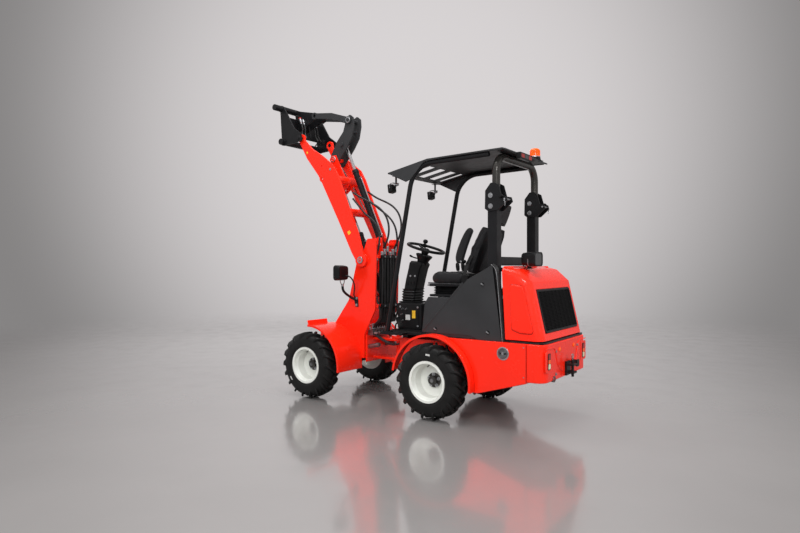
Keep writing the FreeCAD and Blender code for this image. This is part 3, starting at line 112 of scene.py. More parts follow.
def block(low, high, edge=0.002, segments=2):
    low, high = Vector(low), Vector(high)
    deselectAll()
    bpy.ops.mesh.primitive_cube_add(size=1, location=(low + high) / 2, scale=high - low)
    return roundEdges(settle(bpy.context.object), edge, segments)


def rod(start, end, radius, edge=0.0012, around=32):
    start, end = Vector(start), Vector(end)
    deselectAll()
    bpy.ops.mesh.primitive_cylinder_add(
        vertices=around, radius=radius, depth=(end - start).length, location=(start + end) / 2,
        rotation=(end - start).to_track_quat("Z", "Y").to_euler())
    return roundEdges(settle(bpy.context.object), edge)


def spun(profile, centre, axis, steps=48):
    # profile is pairs of distance along the axis and radius
    centre, axis = Vector(centre), Vector(axis).normalized()
    outwards = axis.orthogonal().normalized()
    deselectAll()
    bpy.ops.mesh.primitive_circle_add(vertices=len(profile), radius=0.01)
    piece = bpy.context.object
    shape = openMesh(piece)
    shape.verts.ensure_lookup_table()
    corners = list(shape.verts)
    for corner, (along, radius) in zip(corners, profile):
        corner.co = centre + axis * along + outwards * radius
    if profile[0][1] == 0 and profile[-1][1] == 0:
        # a profile that ends on the axis at both ends needs no edge along it
        shape.edges.remove(next(edge for edge in shape.edges
                if corners[0] in edge.verts and corners[-1] in edge.verts))
    bmesh.update_edit_mesh(piece.data)
    bpy.ops.mesh.select_mode(type="VERT")
    bpy.ops.mesh.select_all(action="SELECT")
    bpy.ops.mesh.spin(steps=steps, angle=math.tau, center=centre, axis=axis)
    bpy.ops.mesh.select_all(action="SELECT")
    bpy.ops.mesh.remove_doubles(threshold=weld["spun"])
    bpy.ops.mesh.normals_make_consistent(inside=False)
    bpy.ops.object.mode_set(mode="OBJECT")
    return piece


def drawnOut(sections):
    # a filled ring of points extruded through each following ring
    deselectAll()
    bpy.ops.mesh.primitive_circle_add(vertices=len(sections[0]), radius=0.01, fill_type="NGON")
    piece = bpy.context.object
    shape = openMesh(piece)
    shape.verts.ensure_lookup_table()
    ring = list(shape.verts)
    for corner, spot in zip(ring, sections[0]):
        corner.co = spot
    bmesh.update_edit_mesh(piece.data)
    for before, after in zip(sections, sections[1:]):
        bpy.ops.mesh.select_mode(type="FACE")
        if before is sections[0]:
            bpy.ops.mesh.select_all(action="SELECT")
        bpy.ops.mesh.extrude_region_move()
        shape = bmesh.from_edit_mesh(piece.data)
        for corner in [vert for vert in shape.verts if vert.select]:
            away = [(Vector(spot) - corner.co).length_squared for spot in before]
            corner.co = Vector(after[away.index(min(away))])
        bmesh.update_edit_mesh(piece.data)
    bpy.ops.mesh.select_all(action="SELECT")
    bpy.ops.mesh.normals_make_consistent(inside=False)
    bpy.ops.object.mode_set(mode="OBJECT")
    return piece


def sidePlate(outline, low, high, edge=0.0015):
    # outline is X and Z pairs, the plate runs from low to high across the machine
    plate = drawnOut([[(x, y, z) for x, z in outline] for y in (low, high)])
    return roundEdges(plate, edge) if edge else plate


def bar(points, radius, order=3, smooth=8, around=5):
    # a round hose or bent rod along a smooth line
    deselectAll()
    bpy.ops.curve.primitive_nurbs_path_add()
    curve = bpy.context.object
    data = curve.data
    data.splines.clear()
    line = data.splines.new("NURBS")
    line.points.add(len(points) - 1)
    for spot, place in zip(line.points, points):
        spot.co = (*place, 1.0)
    line.order_u = min(order, len(points))
    line.use_endpoint_u = True
    data.dimensions = "3D"
    data.resolution_u = smooth
    data.bevel_depth = radius
    data.bevel_resolution = around
    data.use_fill_caps = True
    pick(curve)
    bpy.ops.object.convert(target="MESH")
    return settle(bpy.context.object)


def roundedRing(low, high, radius, level, steps=5):
    # a rounded rectangle's points in plan, low and high being X and Y pairs
    points = []
    corners = ((high[0], high[1], 0), (low[0], high[1], 1), (low[0], low[1], 2), (high[0], low[1], 3))
    for x, y, quarter in corners:
        cx = x - radius if x == high[0] else x + radius
        cy = y - radius if y == high[1] else y + radius
        for step in range(steps + 1):
            turn = math.pi / 2 * (quarter + step / steps)
            points.append((cx + radius * math.cos(turn), cy + radius * math.sin(turn), level))
    return points


def handed(side, points):
    # points given for the left-hand side
    return [(x, side * y, z) for x, y, z in points]


def paint(piece, look):
    piece.data.materials.clear()
    piece.data.materials.append(looks[look])
    return piece


def joined(*pieces):
    pick(*pieces)
    bpy.ops.object.join()
    return bpy.context.object


def copied(piece, matrix):
    twin = piece.copy()
    twin.data = piece.data.copy()
    bpy.context.scene.collection.objects.link(twin)
    twin.data.transform(matrix)
    if matrix.determinant() < 0:
        twin.data.flip_normals()
    return twin


def add(parts, look, *pieces):
    parts += [paint(piece, look) for piece in pieces]


def turns(steps, start=0.0):
    # equal steps once round, in radians
    return [start + math.tau * step / steps for step in range(steps)]


def bellows(low, high, corner, folds, fold, foot, tall, lean=(0.0, 0.0)):
    # a folded rubber boot round a rectangle, whose rear and front may lean back as it rises
    rings = []
    for step in range(2 * folds + 1):
        share, out = step / (2 * folds), 0.0 if step % 2 else fold
        rings.append(roundedRing((low[0] - lean[0] * share - out, low[1] - out),
                (high[0] - lean[1] * share + out, high[1] + out), corner, foot + tall * share))
    return drawnOut(rings)


def fit(piece, name, body, angle=38):
    piece.name = piece.data.name = name
    pick(piece)
    bpy.ops.object.shade_smooth_by_angle(angle=math.radians(angle), keep_sharp_edges=True)
    useModifier(piece, "WEIGHTED_NORMAL", keep_sharp=True)
    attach(piece, body)
    return piece


def finish(parts, name, body, angle=38, stands=None):
    # the parts become one piece, which may stand for a node
    piece = fit(joined(*parts), name, body, angle)
    if stands:
        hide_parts(stands)
    return piece


def aimedAt(place, target):
    return (Vector(target) - Vector(place)).to_track_quat("-Z", "Y").to_euler()


cameraSetup = {
    "place": (-3.078, 4.469, 1.246), "lens": 26.23, "sensor": 36.0, "yaw": -54.1, "pitch": -0.1,
}
studio = {
    "floorRadius": 14.0, "floorTone": (0.285, 0.274, 0.269), "floorLow": 0.93, "floorRough": (0.1, 0.24),
    "floorFade": (6.0, 11.5),
    "wallTones": ((0.0, (0.5, 0.485, 0.485)), (0.45, (0.46, 0.446, 0.446)), (0.8, (0.235, 0.227, 0.226)),
        (1.0, (0.69, 0.66, 0.664))), "wallStrength": 1.0,
    "brightHeading": (0.56, -0.8, 0.2),
}
# place, target, size and power of each lamp, and whether it shows in reflections
lampSetup = {
    "topLight": ((0.2, 0.6, 6.2), (0.0, 0.0, 0.8), (6.0, 5.0), 300, False),
    "leftLight": ((-1.4, 5.8, 3.0), (0.0, 0.0, 1.0), (5.0, 3.0), 165, False),
    "edgeLight": ((-3.4, 3.4, 3.6), (-0.6, 0.0, 1.1), (1.0, 1.0), 45, True),
    "gleamLight": ((0.3, 1.2, 5.4), (0.0, 0.0, 1.0), (3.2, 1.6), 70, True),
    "rearLight": ((-5.6, 0.4, 3.0), (0.0, 0.0, 1.1), (4.0, 3.0), 105, False),
    "frontLight": ((4.8, -2.6, 3.4), (0.3, 0.0, 1.4), (4.0, 3.0), 90, False),
}
camera = bpy.data.objects.new("viewCamera", bpy.data.cameras.new("viewCamera"))
camera.data.lens = cameraSetup["lens"]
camera.data.sensor_width = cameraSetup["sensor"]
bpy.context.scene.collection.objects.link(camera)
camera.location = cameraSetup["place"]
camera.rotation_euler = (math.radians(90 + cameraSetup["pitch"]), 0, math.radians(cameraSetup["yaw"] - 90))
bpy.context.scene.camera = camera
bpy.context.scene.view_settings.view_transform = "Standard"


def softbox(name, place, target, size, power, gleams):
    data = bpy.data.lights.new(name, "AREA")
    data.shape = "RECTANGLE"
    data.size, data.size_y = size
    data.energy = power
    lamp = bpy.data.objects.new(name, data)
    lamp.location = place
    lamp.rotation_euler = aimedAt(place, target)
    lamp.visible_glossy = gleams
    bpy.context.scene.collection.objects.link(lamp)
    return lamp


def addBackdrop():
    # a wall of light that is brightest behind the machine
    world = bpy.data.worlds.new("studioWall")
    bpy.context.scene.world = world
    world.use_nodes = True
    tree = world.node_tree
    backdrop = tree.nodes["Background"]
    heading = tree.nodes.new("ShaderNodeTexCoord")
    facing = tree.nodes.new("ShaderNodeVectorMath")
    facing.operation = "DOT_PRODUCT"
    facing.inputs[1].default_value = Vector(studio["brightHeading"]).normalized()
    ramp = tree.nodes.new("ShaderNodeValToRGB")
    ramp.color_ramp.interpolation = "EASE"
    tones = ramp.color_ramp.elements
    for index, (position, tone) in enumerate(studio["wallTones"]):
        stop = tones[0] if index == 0 else tones[-1] if position == 1.0 else tones.new(position)
        stop.position = position
        stop.color = (*tone, 1)
    tree.links.new(heading.outputs["Generated"], facing.inputs[0])
    tree.links.new(facing.outputs["Value"], ramp.inputs["Fac"])
    tree.links.new(ramp.outputs["Color"], backdrop.inputs["Color"])
    backdrop.inputs["Strength"].default_value = studio["wallStrength"]


addBackdrop()
lamps = [softbox(name, *setup) for name, setup in lampSetup.items()]
print("camera, wall and lights placed")

# the colour's two ends, its patches' scale, the gloss's two ends, the grain's scale and height, and what else
# the finish has
finishes = {
    "paintRed": ((0.98, 0.022, 0.006), (0.93, 0.019, 0.005), 2.0, (0.24, 0.29), 420, 0.00002,
        {"coat": 0.35, "shine": 0.2}),
    "paintCharcoal": ((0.03, 0.0305, 0.0325), (0.023, 0.0235, 0.025), 4.0, (0.4, 0.5), 900, 0.00008,
        {"shine": 0.34}),
    "paintBlack": ((0.01, 0.01, 0.011), (0.006, 0.006, 0.007), 6.0, (0.28, 0.42), 500, 0.00006,
        {"shine": 0.24}),
    "paintGraphite": ((0.07, 0.066, 0.061), (0.045, 0.042, 0.039), 5.0, (0.24, 0.34), 700, 0.00004,
        {"metal": 0.7, "coat": 0.2}),
    "paintCream": ((0.84, 0.855, 0.81), (0.74, 0.75, 0.7), 7.0, (0.3, 0.46), 420, 0.00006, {"coat": 0.3}),
    "plasticBlack": ((0.009, 0.009, 0.0095), (0.005, 0.005, 0.0055), 8.0, (0.3, 0.44), 1300, 0.0001,
        {"shine": 0.22}),
    "tyreRubber": ((0.0125, 0.012, 0.012), (0.006, 0.006, 0.006), 14.0, (0.36, 0.52), 480, 0.00016,
        {"shine": 0.24}),
    "screenBlack": ((0.0035, 0.0035, 0.004), (0.002, 0.002, 0.0022), 20.0, (0.45, 0.6), 900, 0.0001,
        {"shine": 0.08}),
    "darkGlass": ((0.012, 0.013, 0.015), (0.006, 0.007, 0.008), 40.0, (0.04, 0.1), 260, 0.0002,
        {"coat": 0.4}),
    "hoseRubber": ((0.013, 0.013, 0.014), (0.007, 0.007, 0.007), 18.0, (0.3, 0.46), 1500, 0.00008),
    "sealRubber": ((0.2, 0.2, 0.205), (0.1, 0.1, 0.105), 12.0, (0.35, 0.55), 900, 0.0001),
    "seatVinyl": ((0.01, 0.01, 0.0115), (0.006, 0.006, 0.007), 5.0, (0.4, 0.52), 650, 0.0003,
        {"cells": True, "sheen": 0.08, "shine": 0.4}),
    "chrome": ((0.8, 0.8, 0.81), (0.66, 0.66, 0.68), 6.0, (0.06, 0.16), 900, 0.00002, {"metal": 1.0}),
    "zinc": ((0.62, 0.63, 0.65), (0.4, 0.41, 0.43), 90.0, (0.26, 0.42), 700, 0.00006, {"metal": 1.0}),
    "steelGrey": ((0.3, 0.3, 0.31), (0.16, 0.16, 0.17), 30.0, (0.3, 0.5), 500, 0.0001, {"metal": 0.9}),
    "castIron": ((0.045, 0.043, 0.041), (0.02, 0.019, 0.018), 16.0, (0.5, 0.75), 380, 0.0004),
    "yellowPlate": ((0.86, 0.52, 0.03), (0.7, 0.4, 0.02), 20.0, (0.3, 0.45), 600, 0.00004),
    "greyPlate": ((0.62, 0.62, 0.6), (0.48, 0.48, 0.47), 20.0, (0.3, 0.45), 600, 0.00004),
    "amberLens": ((0.95, 0.115, 0.002), (0.75, 0.06, 0.0), 30.0, (0.08, 0.18), 160, 0.0002,
        {"glow": (1.0, 0.1, 0.0, 0.16)}),
    "redLens": ((0.34, 0.01, 0.008), (0.2, 0.006, 0.004), 40.0, (0.08, 0.16), 300, 0.0002),
    "paleLens": ((0.8, 0.74, 0.52), (0.66, 0.58, 0.36), 40.0, (0.06, 0.16), 260, 0.0002),
    "clearLens": ((0.72, 0.74, 0.76), (0.5, 0.52, 0.55), 50.0, (0.05, 0.12), 240, 0.0003, {"metal": 0.6}),
}
# where the colour and the gloss reach their ends, and the gloss patches' scale beside the colour's
mixing = {"toneEnds": (0.32, 0.68), "glossEnds": (0.3, 0.7), "glossPatch": 4.3, "coatRough": 0.08}


def makeLook(name, tone, low, patch, rough, grain, bump, more=None):
    more = more or {}
    material = bpy.data.materials.new(name)
    material.use_nodes = True
    tree = material.node_tree
    shader = tree.nodes["Principled BSDF"]
    place = tree.nodes.new("ShaderNodeTexCoord").outputs["Object"]

    def noise(scale, detail):
        texture = tree.nodes.new("ShaderNodeTexNoise")
        texture.inputs["Scale"].default_value = scale
        texture.inputs["Detail"].default_value = detail
        tree.links.new(place, texture.inputs["Vector"])
        return texture.outputs["Fac"]

    blend = tree.nodes.new("ShaderNodeValToRGB")
    for stop, position, colour in zip(blend.color_ramp.elements, mixing["toneEnds"], (low, tone)):
        stop.position = position
        stop.color = (*colour, 1)
    tree.links.new(noise(patch, 6), blend.inputs["Fac"])
    tree.links.new(blend.outputs["Color"], shader.inputs["Base Color"])
    gloss = tree.nodes.new("ShaderNodeMapRange")
    for key, value in zip(("From Min", "From Max", "To Min", "To Max"), (*mixing["glossEnds"], *rough)):
        gloss.inputs[key].default_value = value
    tree.links.new(noise(patch * mixing["glossPatch"], 4), gloss.inputs["Value"])
    tree.links.new(gloss.outputs["Result"], shader.inputs["Roughness"])
    relief = tree.nodes.new("ShaderNodeBump")
    relief.inputs["Distance"].default_value = bump
    if more.get("cells"):
        cells = tree.nodes.new("ShaderNodeTexVoronoi")
        cells.inputs["Scale"].default_value = grain
        tree.links.new(place, cells.inputs["Vector"])
        height = cells.outputs["Distance"]
    else:
        height = noise(grain, 3)
    tree.links.new(height, relief.inputs["Height"])
    tree.links.new(relief.outputs["Normal"], shader.inputs["Normal"])
    for key, value in (("Metallic", more.get("metal", 0.0)), ("Specular IOR Level", more.get("shine", 0.5)),
            ("Coat Weight", more.get("coat", 0.0)), ("Coat Roughness", mixing["coatRough"]),
            ("Sheen Weight", more.get("sheen", 0.0))):
        shader.inputs[key].default_value = value
    if more.get("glow"):
        shader.inputs["Emission Color"].default_value = (*more["glow"][:3], 1)
        shader.inputs["Emission Strength"].default_value = more["glow"][3]
    return material


looks = {name: makeLook(name, *look) for name, look in finishes.items()}
deselectAll()
bpy.ops.mesh.primitive_circle_add(vertices=96, radius=studio["floorRadius"], fill_type="NGON")
studioFloor = bpy.context.object
studioFloor.name = "studioFloor"
looks["studioFloor"] = makeLook(
    "studioFloor", studio["floorTone"], [studio["floorLow"] * share for share in studio["floorTone"]], 0.9,
    studio["floorRough"], 3.0, 0.0003, {"shine": 0.9, "coat": 0.5})
paint(studioFloor, "studioFloor")
# the two lights that put the gleam on the paint leave the floor alone
skipped = bpy.data.collections.new("gleamSkips")
skipped.objects.link(studioFloor)
skipped.collection_objects[0].light_linking.link_state = "EXCLUDE"
for lamp in lamps:
    if lamp.visible_glossy:
        lamp.light_linking.receiver_collection = skipped


def fadeOut(material, near, far):
    # the floor thins out into the wall, so no hard line runs behind the machine
    tree = material.node_tree
    place = tree.nodes.new("ShaderNodeTexCoord")
    distance = tree.nodes.new("ShaderNodeVectorMath")
    distance.operation = "LENGTH"
    share = tree.nodes.new("ShaderNodeMapRange")
    share.interpolation_type = "SMOOTHSTEP"
    share.inputs["From Min"].default_value = near
    share.inputs["From Max"].default_value = far
    clear = tree.nodes.new("ShaderNodeBsdfTransparent")
    blend = tree.nodes.new("ShaderNodeMixShader")
    shader = next(node for node in tree.nodes if node.type == "BSDF_PRINCIPLED")
    end = next(node for node in tree.nodes if node.type == "OUTPUT_MATERIAL")
    tree.links.new(place.outputs["Object"], distance.inputs[0])
    tree.links.new(distance.outputs["Value"], share.inputs["Value"])
    tree.links.new(share.outputs["Result"], blend.inputs["Fac"])
    tree.links.new(shader.outputs["BSDF"], blend.inputs[1])
    tree.links.new(clear.outputs["BSDF"], blend.inputs[2])
    tree.links.new(blend.outputs["Shader"], end.inputs["Surface"])


fadeOut(looks["studioFloor"], *studio["floorFade"])
print("finishes mixed and floor laid")

# nodes kept in shape, with how far their edges are rounded off
softened = {
    "tower": 0.0025, "arm_left": 0.0025, "arm_right": 0.0025, "arm_tubes": 0.0015, "rocker": 0.0022,
    "link": 0.0018, "carrier": 0.0018, "side_panel_left": 0.0022, "side_panel_right": 0.0022,
    "hood": 0.004, "side_tank_left": 0.006, "side_tank_right": 0.006, "counterweight": 0.007,
    "roof": 0.003, "roll_bar": 0.004, "roll_hoop": 0.0018, "floor": 0.003, "console": 0.014,
    "seat_box": 0.01, "rear_fender_left": 0.0018, "rear_fender_right": 0.0018,
    "front_fender_left": 0.0018, "front_fender_right": 0.0018, "rear_frame": 0.003,
    "articulation": 0.003, "front_axle": 0.005, "rear_axle": 0.005, "deck": 0.003,
    "roof_strut_left": 0.0015, "roof_strut_right": 0.0015, "lift_barrel": 0.0015, "tilt_barrel": 0.0015,
    "lift_rod": 0.001, "tilt_rod": 0.001, "hitch": 0.0025,
}
slotLook = {
    "body_red": "paintRed", "panel_grey": "paintCharcoal", "frame_black": "paintBlack",
    "rim_cream": "paintCream", "cast_iron": "castIron", "tyre": "tyreRubber", "rubber": "hoseRubber",
    "black_plastic": "plasticBlack", "seat_cover": "seatVinyl", "amber": "amberLens",
    "lamp_red": "redLens", "steel": "steelGrey", "chrome": "chrome",
}
nodeLook = {
    "rear_frame": "paintRed", "articulation": "paintRed", "carrier": "paintBlack", "rocker": "paintCharcoal",
    "roll_hoop": "paintGraphite", "roll_bar": "paintBlack", "roof_strut_left": "paintBlack",
    "roof_strut_right": "paintBlack", "console": "plasticBlack", "hitch": "paintBlack", "floor": "paintBlack",
}


def softenNode(label, width):
    node = nodes[label]
    mesh = node.data.copy()
    piece = bpy.data.objects.new(label + "_finished", mesh)
    bpy.context.scene.collection.objects.link(piece)
    piece.matrix_world = node.matrix_world.copy()
    settle(piece)
    mesh.materials.clear()
    openMesh(piece)
    bpy.ops.mesh.select_mode(type="VERT")
    bpy.ops.mesh.select_all(action="SELECT")
    bpy.ops.mesh.remove_doubles(threshold=weld["node"])
    bpy.ops.mesh.dissolve_limited(angle_limit=math.radians(1.0))
    bpy.ops.object.mode_set(mode="OBJECT")
    roundEdges(piece, width, 2, 35, clamp=False)
    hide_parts(label)
    return piece


finished = {}
for label, node in nodes.items():
    look = nodeLook.get(label, slotLook[slotOfNode[label]])
    node.data.materials.clear()
    node.data.materials.append(looks[look])
    if label in softened:
        piece = softenNode(label, softened[label])
        paint(piece, look)
        finished[label] = fit(piece, label + "_finished", bodyOfNode[label], 40)
tiltEye = {"bore": 0.02, "nearBore": 0.0008, "room": 0.0006}
hinge = {"postY": 0.37, "postHalf": 0.034, "top": 1.9}


def openTiltEye():
    # the eye at the tilt barrel's foot turns on its pin with a little room
    middle = jointPlace["tilt_barrel_swing"]
    for corner in finished["tilt_barrel"].data.vertices:
        out = Vector((corner.co.x - middle.x, 0, corner.co.z - middle.z))
        if abs(out.length - tiltEye["bore"]) < tiltEye["nearBore"]:
            corner.co += out.normalized() * tiltEye["room"]


def blackenHinges():
    # the hinge plates stand either side of the posts, and the bent tube runs between them
    hoop = finished["roll_hoop"].data
    hoop.materials.append(looks["paintBlack"])
    for face in hoop.polygons:
        if abs(abs(face.center.y) - hinge["postY"]) > hinge["postHalf"] and face.center.z < hinge["top"]:
            face.material_index = 1


openTiltEye()
blackenHinges()
print("frame pieces softened,", len(finished))

tyre = {
    "tread": 0.31, "lugs": 18, "steps": 108, "lugEdge": 0.0028,
    # distance from the middle plane and radius, from the crown to the bead
    "shoulder": [(0.0, 0.2885), (0.03, 0.2875), (0.055, 0.284), (0.071, 0.277), (0.0815, 0.265),
        (0.0872, 0.25), (0.0898, 0.2445), (0.089, 0.239), (0.0912, 0.226), (0.092, 0.21),
        (0.0906, 0.196), (0.0912, 0.1925), (0.09, 0.189), (0.0868, 0.18), (0.08, 0.1722),
        (0.0755, 0.1708), (0.0752, 0.1545)],
    # places along a lug: across and radius of its foot and of its face, how far round it has swept, and
    # the half widths of foot and face
    "lugLine": [((-0.011, 0.285), (-0.011, 0.308), 0.0, 0.012, 0.0085),
        ((0.008, 0.285), (0.008, 0.3098), 0.011, 0.0125, 0.0092),
        ((0.03, 0.284), (0.03, 0.3096), 0.026, 0.0128, 0.0095),
        ((0.052, 0.28), (0.051, 0.3078), 0.043, 0.0132, 0.0098),
        ((0.069, 0.273), (0.072, 0.3035), 0.058, 0.0145, 0.0108),
        ((0.078, 0.264), (0.0875, 0.29), 0.07, 0.0152, 0.0115),
        ((0.084, 0.25), (0.0926, 0.266), 0.076, 0.014, 0.0105),
        ((0.086, 0.244), (0.0912, 0.25), 0.078, 0.0125, 0.0095)],
}
rim = {
    "lip": 0.17, "barrel": 0.1515, "drop": 0.136, "half": 0.083, "wall": 0.005, "disc": -0.042, "nuts": 5,
    "bolts": 0.048,
    # the three profiles are measured along the axle from the disc
    "weld": [(0.003, 0.1335), (0.008, 0.1345), (0.003, 0.1285)],
    "hub": [(-0.03, 0.0), (-0.03, 0.058), (0.01, 0.06), (0.013, 0.057), (0.014, 0.038), (0.038, 0.036),
        (0.041, 0.033), (0.041, 0.02), (0.037, 0.018), (0.037, 0.0)],
    "cap": [(0.038, 0.0), (0.038, 0.0165), (0.047, 0.015), (0.05, 0.011), (0.051, 0.0)],
    # from, to, radius, edge and sides of the nut, its stud and its washer
    "nut": ((-0.012, 0.018, 0.0115, 0.0015, 6), (0.016, 0.029, 0.006, 0.001, 16),
        (0.009, 0.0155, 0.015, 0.0012, 24)),
    "valve": ((-0.046, 0.134), (-0.04, 0.126), (-0.018, 0.122)), "valveRadius": 0.0035,
}


def makeTyre():
    # the carcass stands round the origin, and its lugs are bent round it
    own, sections = tyre, []
    profile = [(-along, radius) for along, radius in reversed(own["shoulder"][1:])] + own["shoulder"]
    carcass = spun(profile, (0, 0, 0), across, own["steps"])
    for (footAcross, footRadius), (faceAcross, faceRadius), sweep, footHalf, faceHalf in own["lugLine"]:
        ring = []
        for spot, radius, reach in ((footAcross, footRadius, -footHalf), (footAcross, footRadius, footHalf),
                (faceAcross, faceRadius, faceHalf), (faceAcross, faceRadius, -faceHalf)):
            turn = (sweep + reach) / own["tread"]
            ring.append((radius * math.sin(turn), spot, radius * math.cos(turn)))
        sections.append(ring)
    lug = roundEdges(drawnOut(sections), own["lugEdge"], 2, 40)
    other = copied(lug, Matrix.Scale(-1, 4, across))
    # the lugs of one half stand between those of the other
    halfPitch = math.pi / own["lugs"]
    lugs = [copied(one, Matrix.Rotation(turn, 4, across))
            for one, start in ((lug, 0.0), (other, halfPitch)) for turn in turns(own["lugs"], start)]
    for spare in (lug, other):
        bpy.data.objects.remove(spare)
    return paint(joined(carcass, *lugs), "tyreRubber")


def makeRim():
    # lip, bead seat, drop centre and disc are one closed section, open side towards +Y
    own, parts = rim, []
    half, wall, disc = own["half"], own["wall"], own["disc"]
    lip, barrel, drop = own["lip"], own["barrel"], own["drop"]
    outer = [(half, lip - 0.001), (half - 0.002, lip), (half - 0.007, lip), (half - 0.009, lip - 0.002),
            (half - 0.01, barrel), (half - 0.03, barrel - 0.001), (half - 0.041, drop + wall),
            (half - 0.08, drop + wall), (-half + 0.032, barrel - 0.001), (-half + 0.01, barrel),
            (-half + 0.009, lip - 0.002), (-half + 0.007, lip), (-half + 0.002, lip), (-half, lip - 0.001)]
    inner = [(-half, barrel - wall - 0.002), (-half + 0.026, barrel - wall - 0.002), (disc - 0.006, drop),
            (disc - 0.006, 0.108), (disc - 0.018, 0.086), (disc - 0.014, 0.062), (disc - 0.014, 0.032),
            (disc - 0.006, 0.032), (disc - 0.006, 0.062), (disc - 0.01, 0.084), (disc + 0.003, 0.11),
            (disc + 0.003, drop - 0.003), (half - 0.079, drop), (half - 0.043, drop),
            (half - 0.033, barrel - wall - 0.002), (half - 0.004, barrel - wall),
            (half, barrel - wall + 0.003)]
    add(parts, "paintCream", spun(outer + inner, (0, 0, 0), across, 96))
    for key, look, steps in (("weld", "paintCream", 96), ("hub", "paintGraphite", 48),
            ("cap", "steelGrey", 32)):
        add(parts, look, spun([(disc + along, radius) for along, radius in own[key]], (0, 0, 0), across,
                steps))
    nut = paint(joined(*(rod((0, disc + start, own["bolts"]), (0, disc + end, own["bolts"]), radius, edge,
            around)
            for start, end, radius, edge, around in own["nut"])), "zinc")
    parts += [copied(nut, Matrix.Rotation(turn, 4, across)) for turn in turns(own["nuts"])]
    bpy.data.objects.remove(nut)
    add(parts, "plasticBlack", bar([(0, half + along, z) for along, z in own["valve"]], own["valveRadius"]))
    return joined(*parts)


def makeWheels():
    oneTyre, oneRim = makeTyre(), makeRim()
    for end in ("front", "rear"):
        for hand, side in sides.items():
            label = end + "_" + hand
            middle = Matrix.Translation(jointPlace["wheel_" + label + "_spin"])
            # the right-hand wheels mirror the left ones, so that every chevron points one way
            turned = middle @ Matrix.Scale(side, 4, across)
            for what, template in (("tyre", oneTyre), ("rim", oneRim)):
                node = what + "_" + label
                piece = copied(template, turned)
                fit(piece, node + "_finished", "wheel_" + label, 40)
                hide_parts(node)
    for template in (oneTyre, oneRim):
        bpy.data.objects.remove(template)


makeWheels()
print("four wheels made")

seat = {
    "voxel": 0.0065, "pressure": 4.0, "frames": 20, "travel": 0.012, "channel": 0.0045,
    "channelWidth": 0.0055,
    "smooth": 6, "quality": 4, "inset": 0.012, "lean": 22,
    # where the sewn channels run: across and along the cushion, then up and across the back
    "cushionRibs": (-0.6, -0.55, -0.5, -0.45, -0.4), "cushionSeam": 0.14, "cushionRibEnd": 0.135,
    "cushionTop": 1.11, "backRibs": (0.09, 0.15, 0.21, 0.27, 0.33), "backSeam": 0.11, "backRibEnd": 0.105,
    # corners as depth, width and height up the back
    "back": ((-0.034, -0.182, 0.012), (0.026, 0.182, 0.418)),
    "head": ((-0.034, -0.128, 0.446), (0.026, 0.128, 0.634)),
    "fill": 0.8,
}
noSeam = 1.0


def shapedBlock(low, high, cuts, reshape):
    # a cube cut into a lattice whose points are then moved by a rule
    low, high = Vector(low), Vector(high)
    deselectAll()
    bpy.ops.mesh.primitive_cube_add(size=1, location=(low + high) / 2, scale=high - low)
    piece = settle(bpy.context.object)
    openMesh(piece)
    bpy.ops.mesh.select_all(action="SELECT")
    bpy.ops.mesh.subdivide(number_cuts=cuts)
    bpy.ops.object.mode_set(mode="OBJECT")
    centre, reach = (low + high) / 2, (high - low) / 2
    for corner in piece.data.vertices:
        share = Vector([(corner.co[axis] - centre[axis]) / reach[axis] for axis in range(3)])
        corner.co = reshape(share, centre, reach)
    return piece


def puffed(piece, channels):
    # blown up as cloth, held to a short travel, then the sewn channels are pressed in
    useModifier(piece, "REMESH", mode="VOXEL", voxel_size=seat["voxel"])
    useModifier(piece, "SMOOTH", factor=0.5, iterations=seat["smooth"])
    start = [corner.co.copy() for corner in piece.data.vertices]
    pick(piece)
    cloth = piece.modifiers.new("cloth", "CLOTH")
    cloth.settings.use_pressure = True
    cloth.settings.uniform_pressure_force = seat["pressure"]
    cloth.settings.effector_weights.gravity = 0
    cloth.settings.quality = seat["quality"]
    for step in range(1, seat["frames"] + 1):
        bpy.context.scene.frame_set(step)
    bpy.ops.object.modifier_apply(modifier="cloth")
    bpy.context.scene.frame_set(1)
    for corner, place in zip(piece.data.vertices, start):
        shift = corner.co - place
        if shift.length > seat["travel"]:
            corner.co = place + shift * (seat["travel"] / shift.length)
    useModifier(piece, "SUBSURF", levels=1, render_levels=1)
    skin = [(corner.co.copy(), corner.normal.copy()) for corner in piece.data.vertices]
    for corner, (place, outwards) in zip(piece.data.vertices, skin):
        depth = seat["channel"] * math.exp(-(channels(place) / seat["channelWidth"]) ** 2)
        corner.co = place - outwards * depth
    return piece


def squircle(value, power=0.5):
    return math.copysign(abs(value) ** power, value)


def cushionShape(share, centre, reach):
    # bolsters rise at both sides, the front edge rolls down, and the pad is thinner at its rear
    x, y, z = share
    pull = 1 - 0.05 * abs(z) ** 2
    plan = 1 - 0.1 * abs(x) ** 4 * abs(y) ** 4
    top = 0.3 * max(0.0, abs(y) - 0.55) / 0.45 - 0.18 * (1 - x * x) * (1 - y * y)
    roll = -0.55 * max(0.0, x - 0.5) ** 2 / 0.25
    rise = z + (top + roll if z > 0 else 0.0) * (0.5 + 0.5 * z)
    return (centre.x + reach.x * x * pull * plan, centre.y + reach.y * y * pull * plan,
            centre.z + reach.z * (0.84 * rise - 0.04))


backLean = math.radians(seat["lean"])
backAxis = Vector((-math.sin(backLean), 0, math.cos(backLean)))
backFace = Vector((math.cos(backLean), 0, math.sin(backLean)))
seatLow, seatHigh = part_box("seat_cushion")
backFoot = Vector((seatLow.x - 0.005, 0, seatHigh.z - 0.016))


def onBack(rise, aside, out):
    return backFoot + backAxis * rise + across * aside + backFace * out


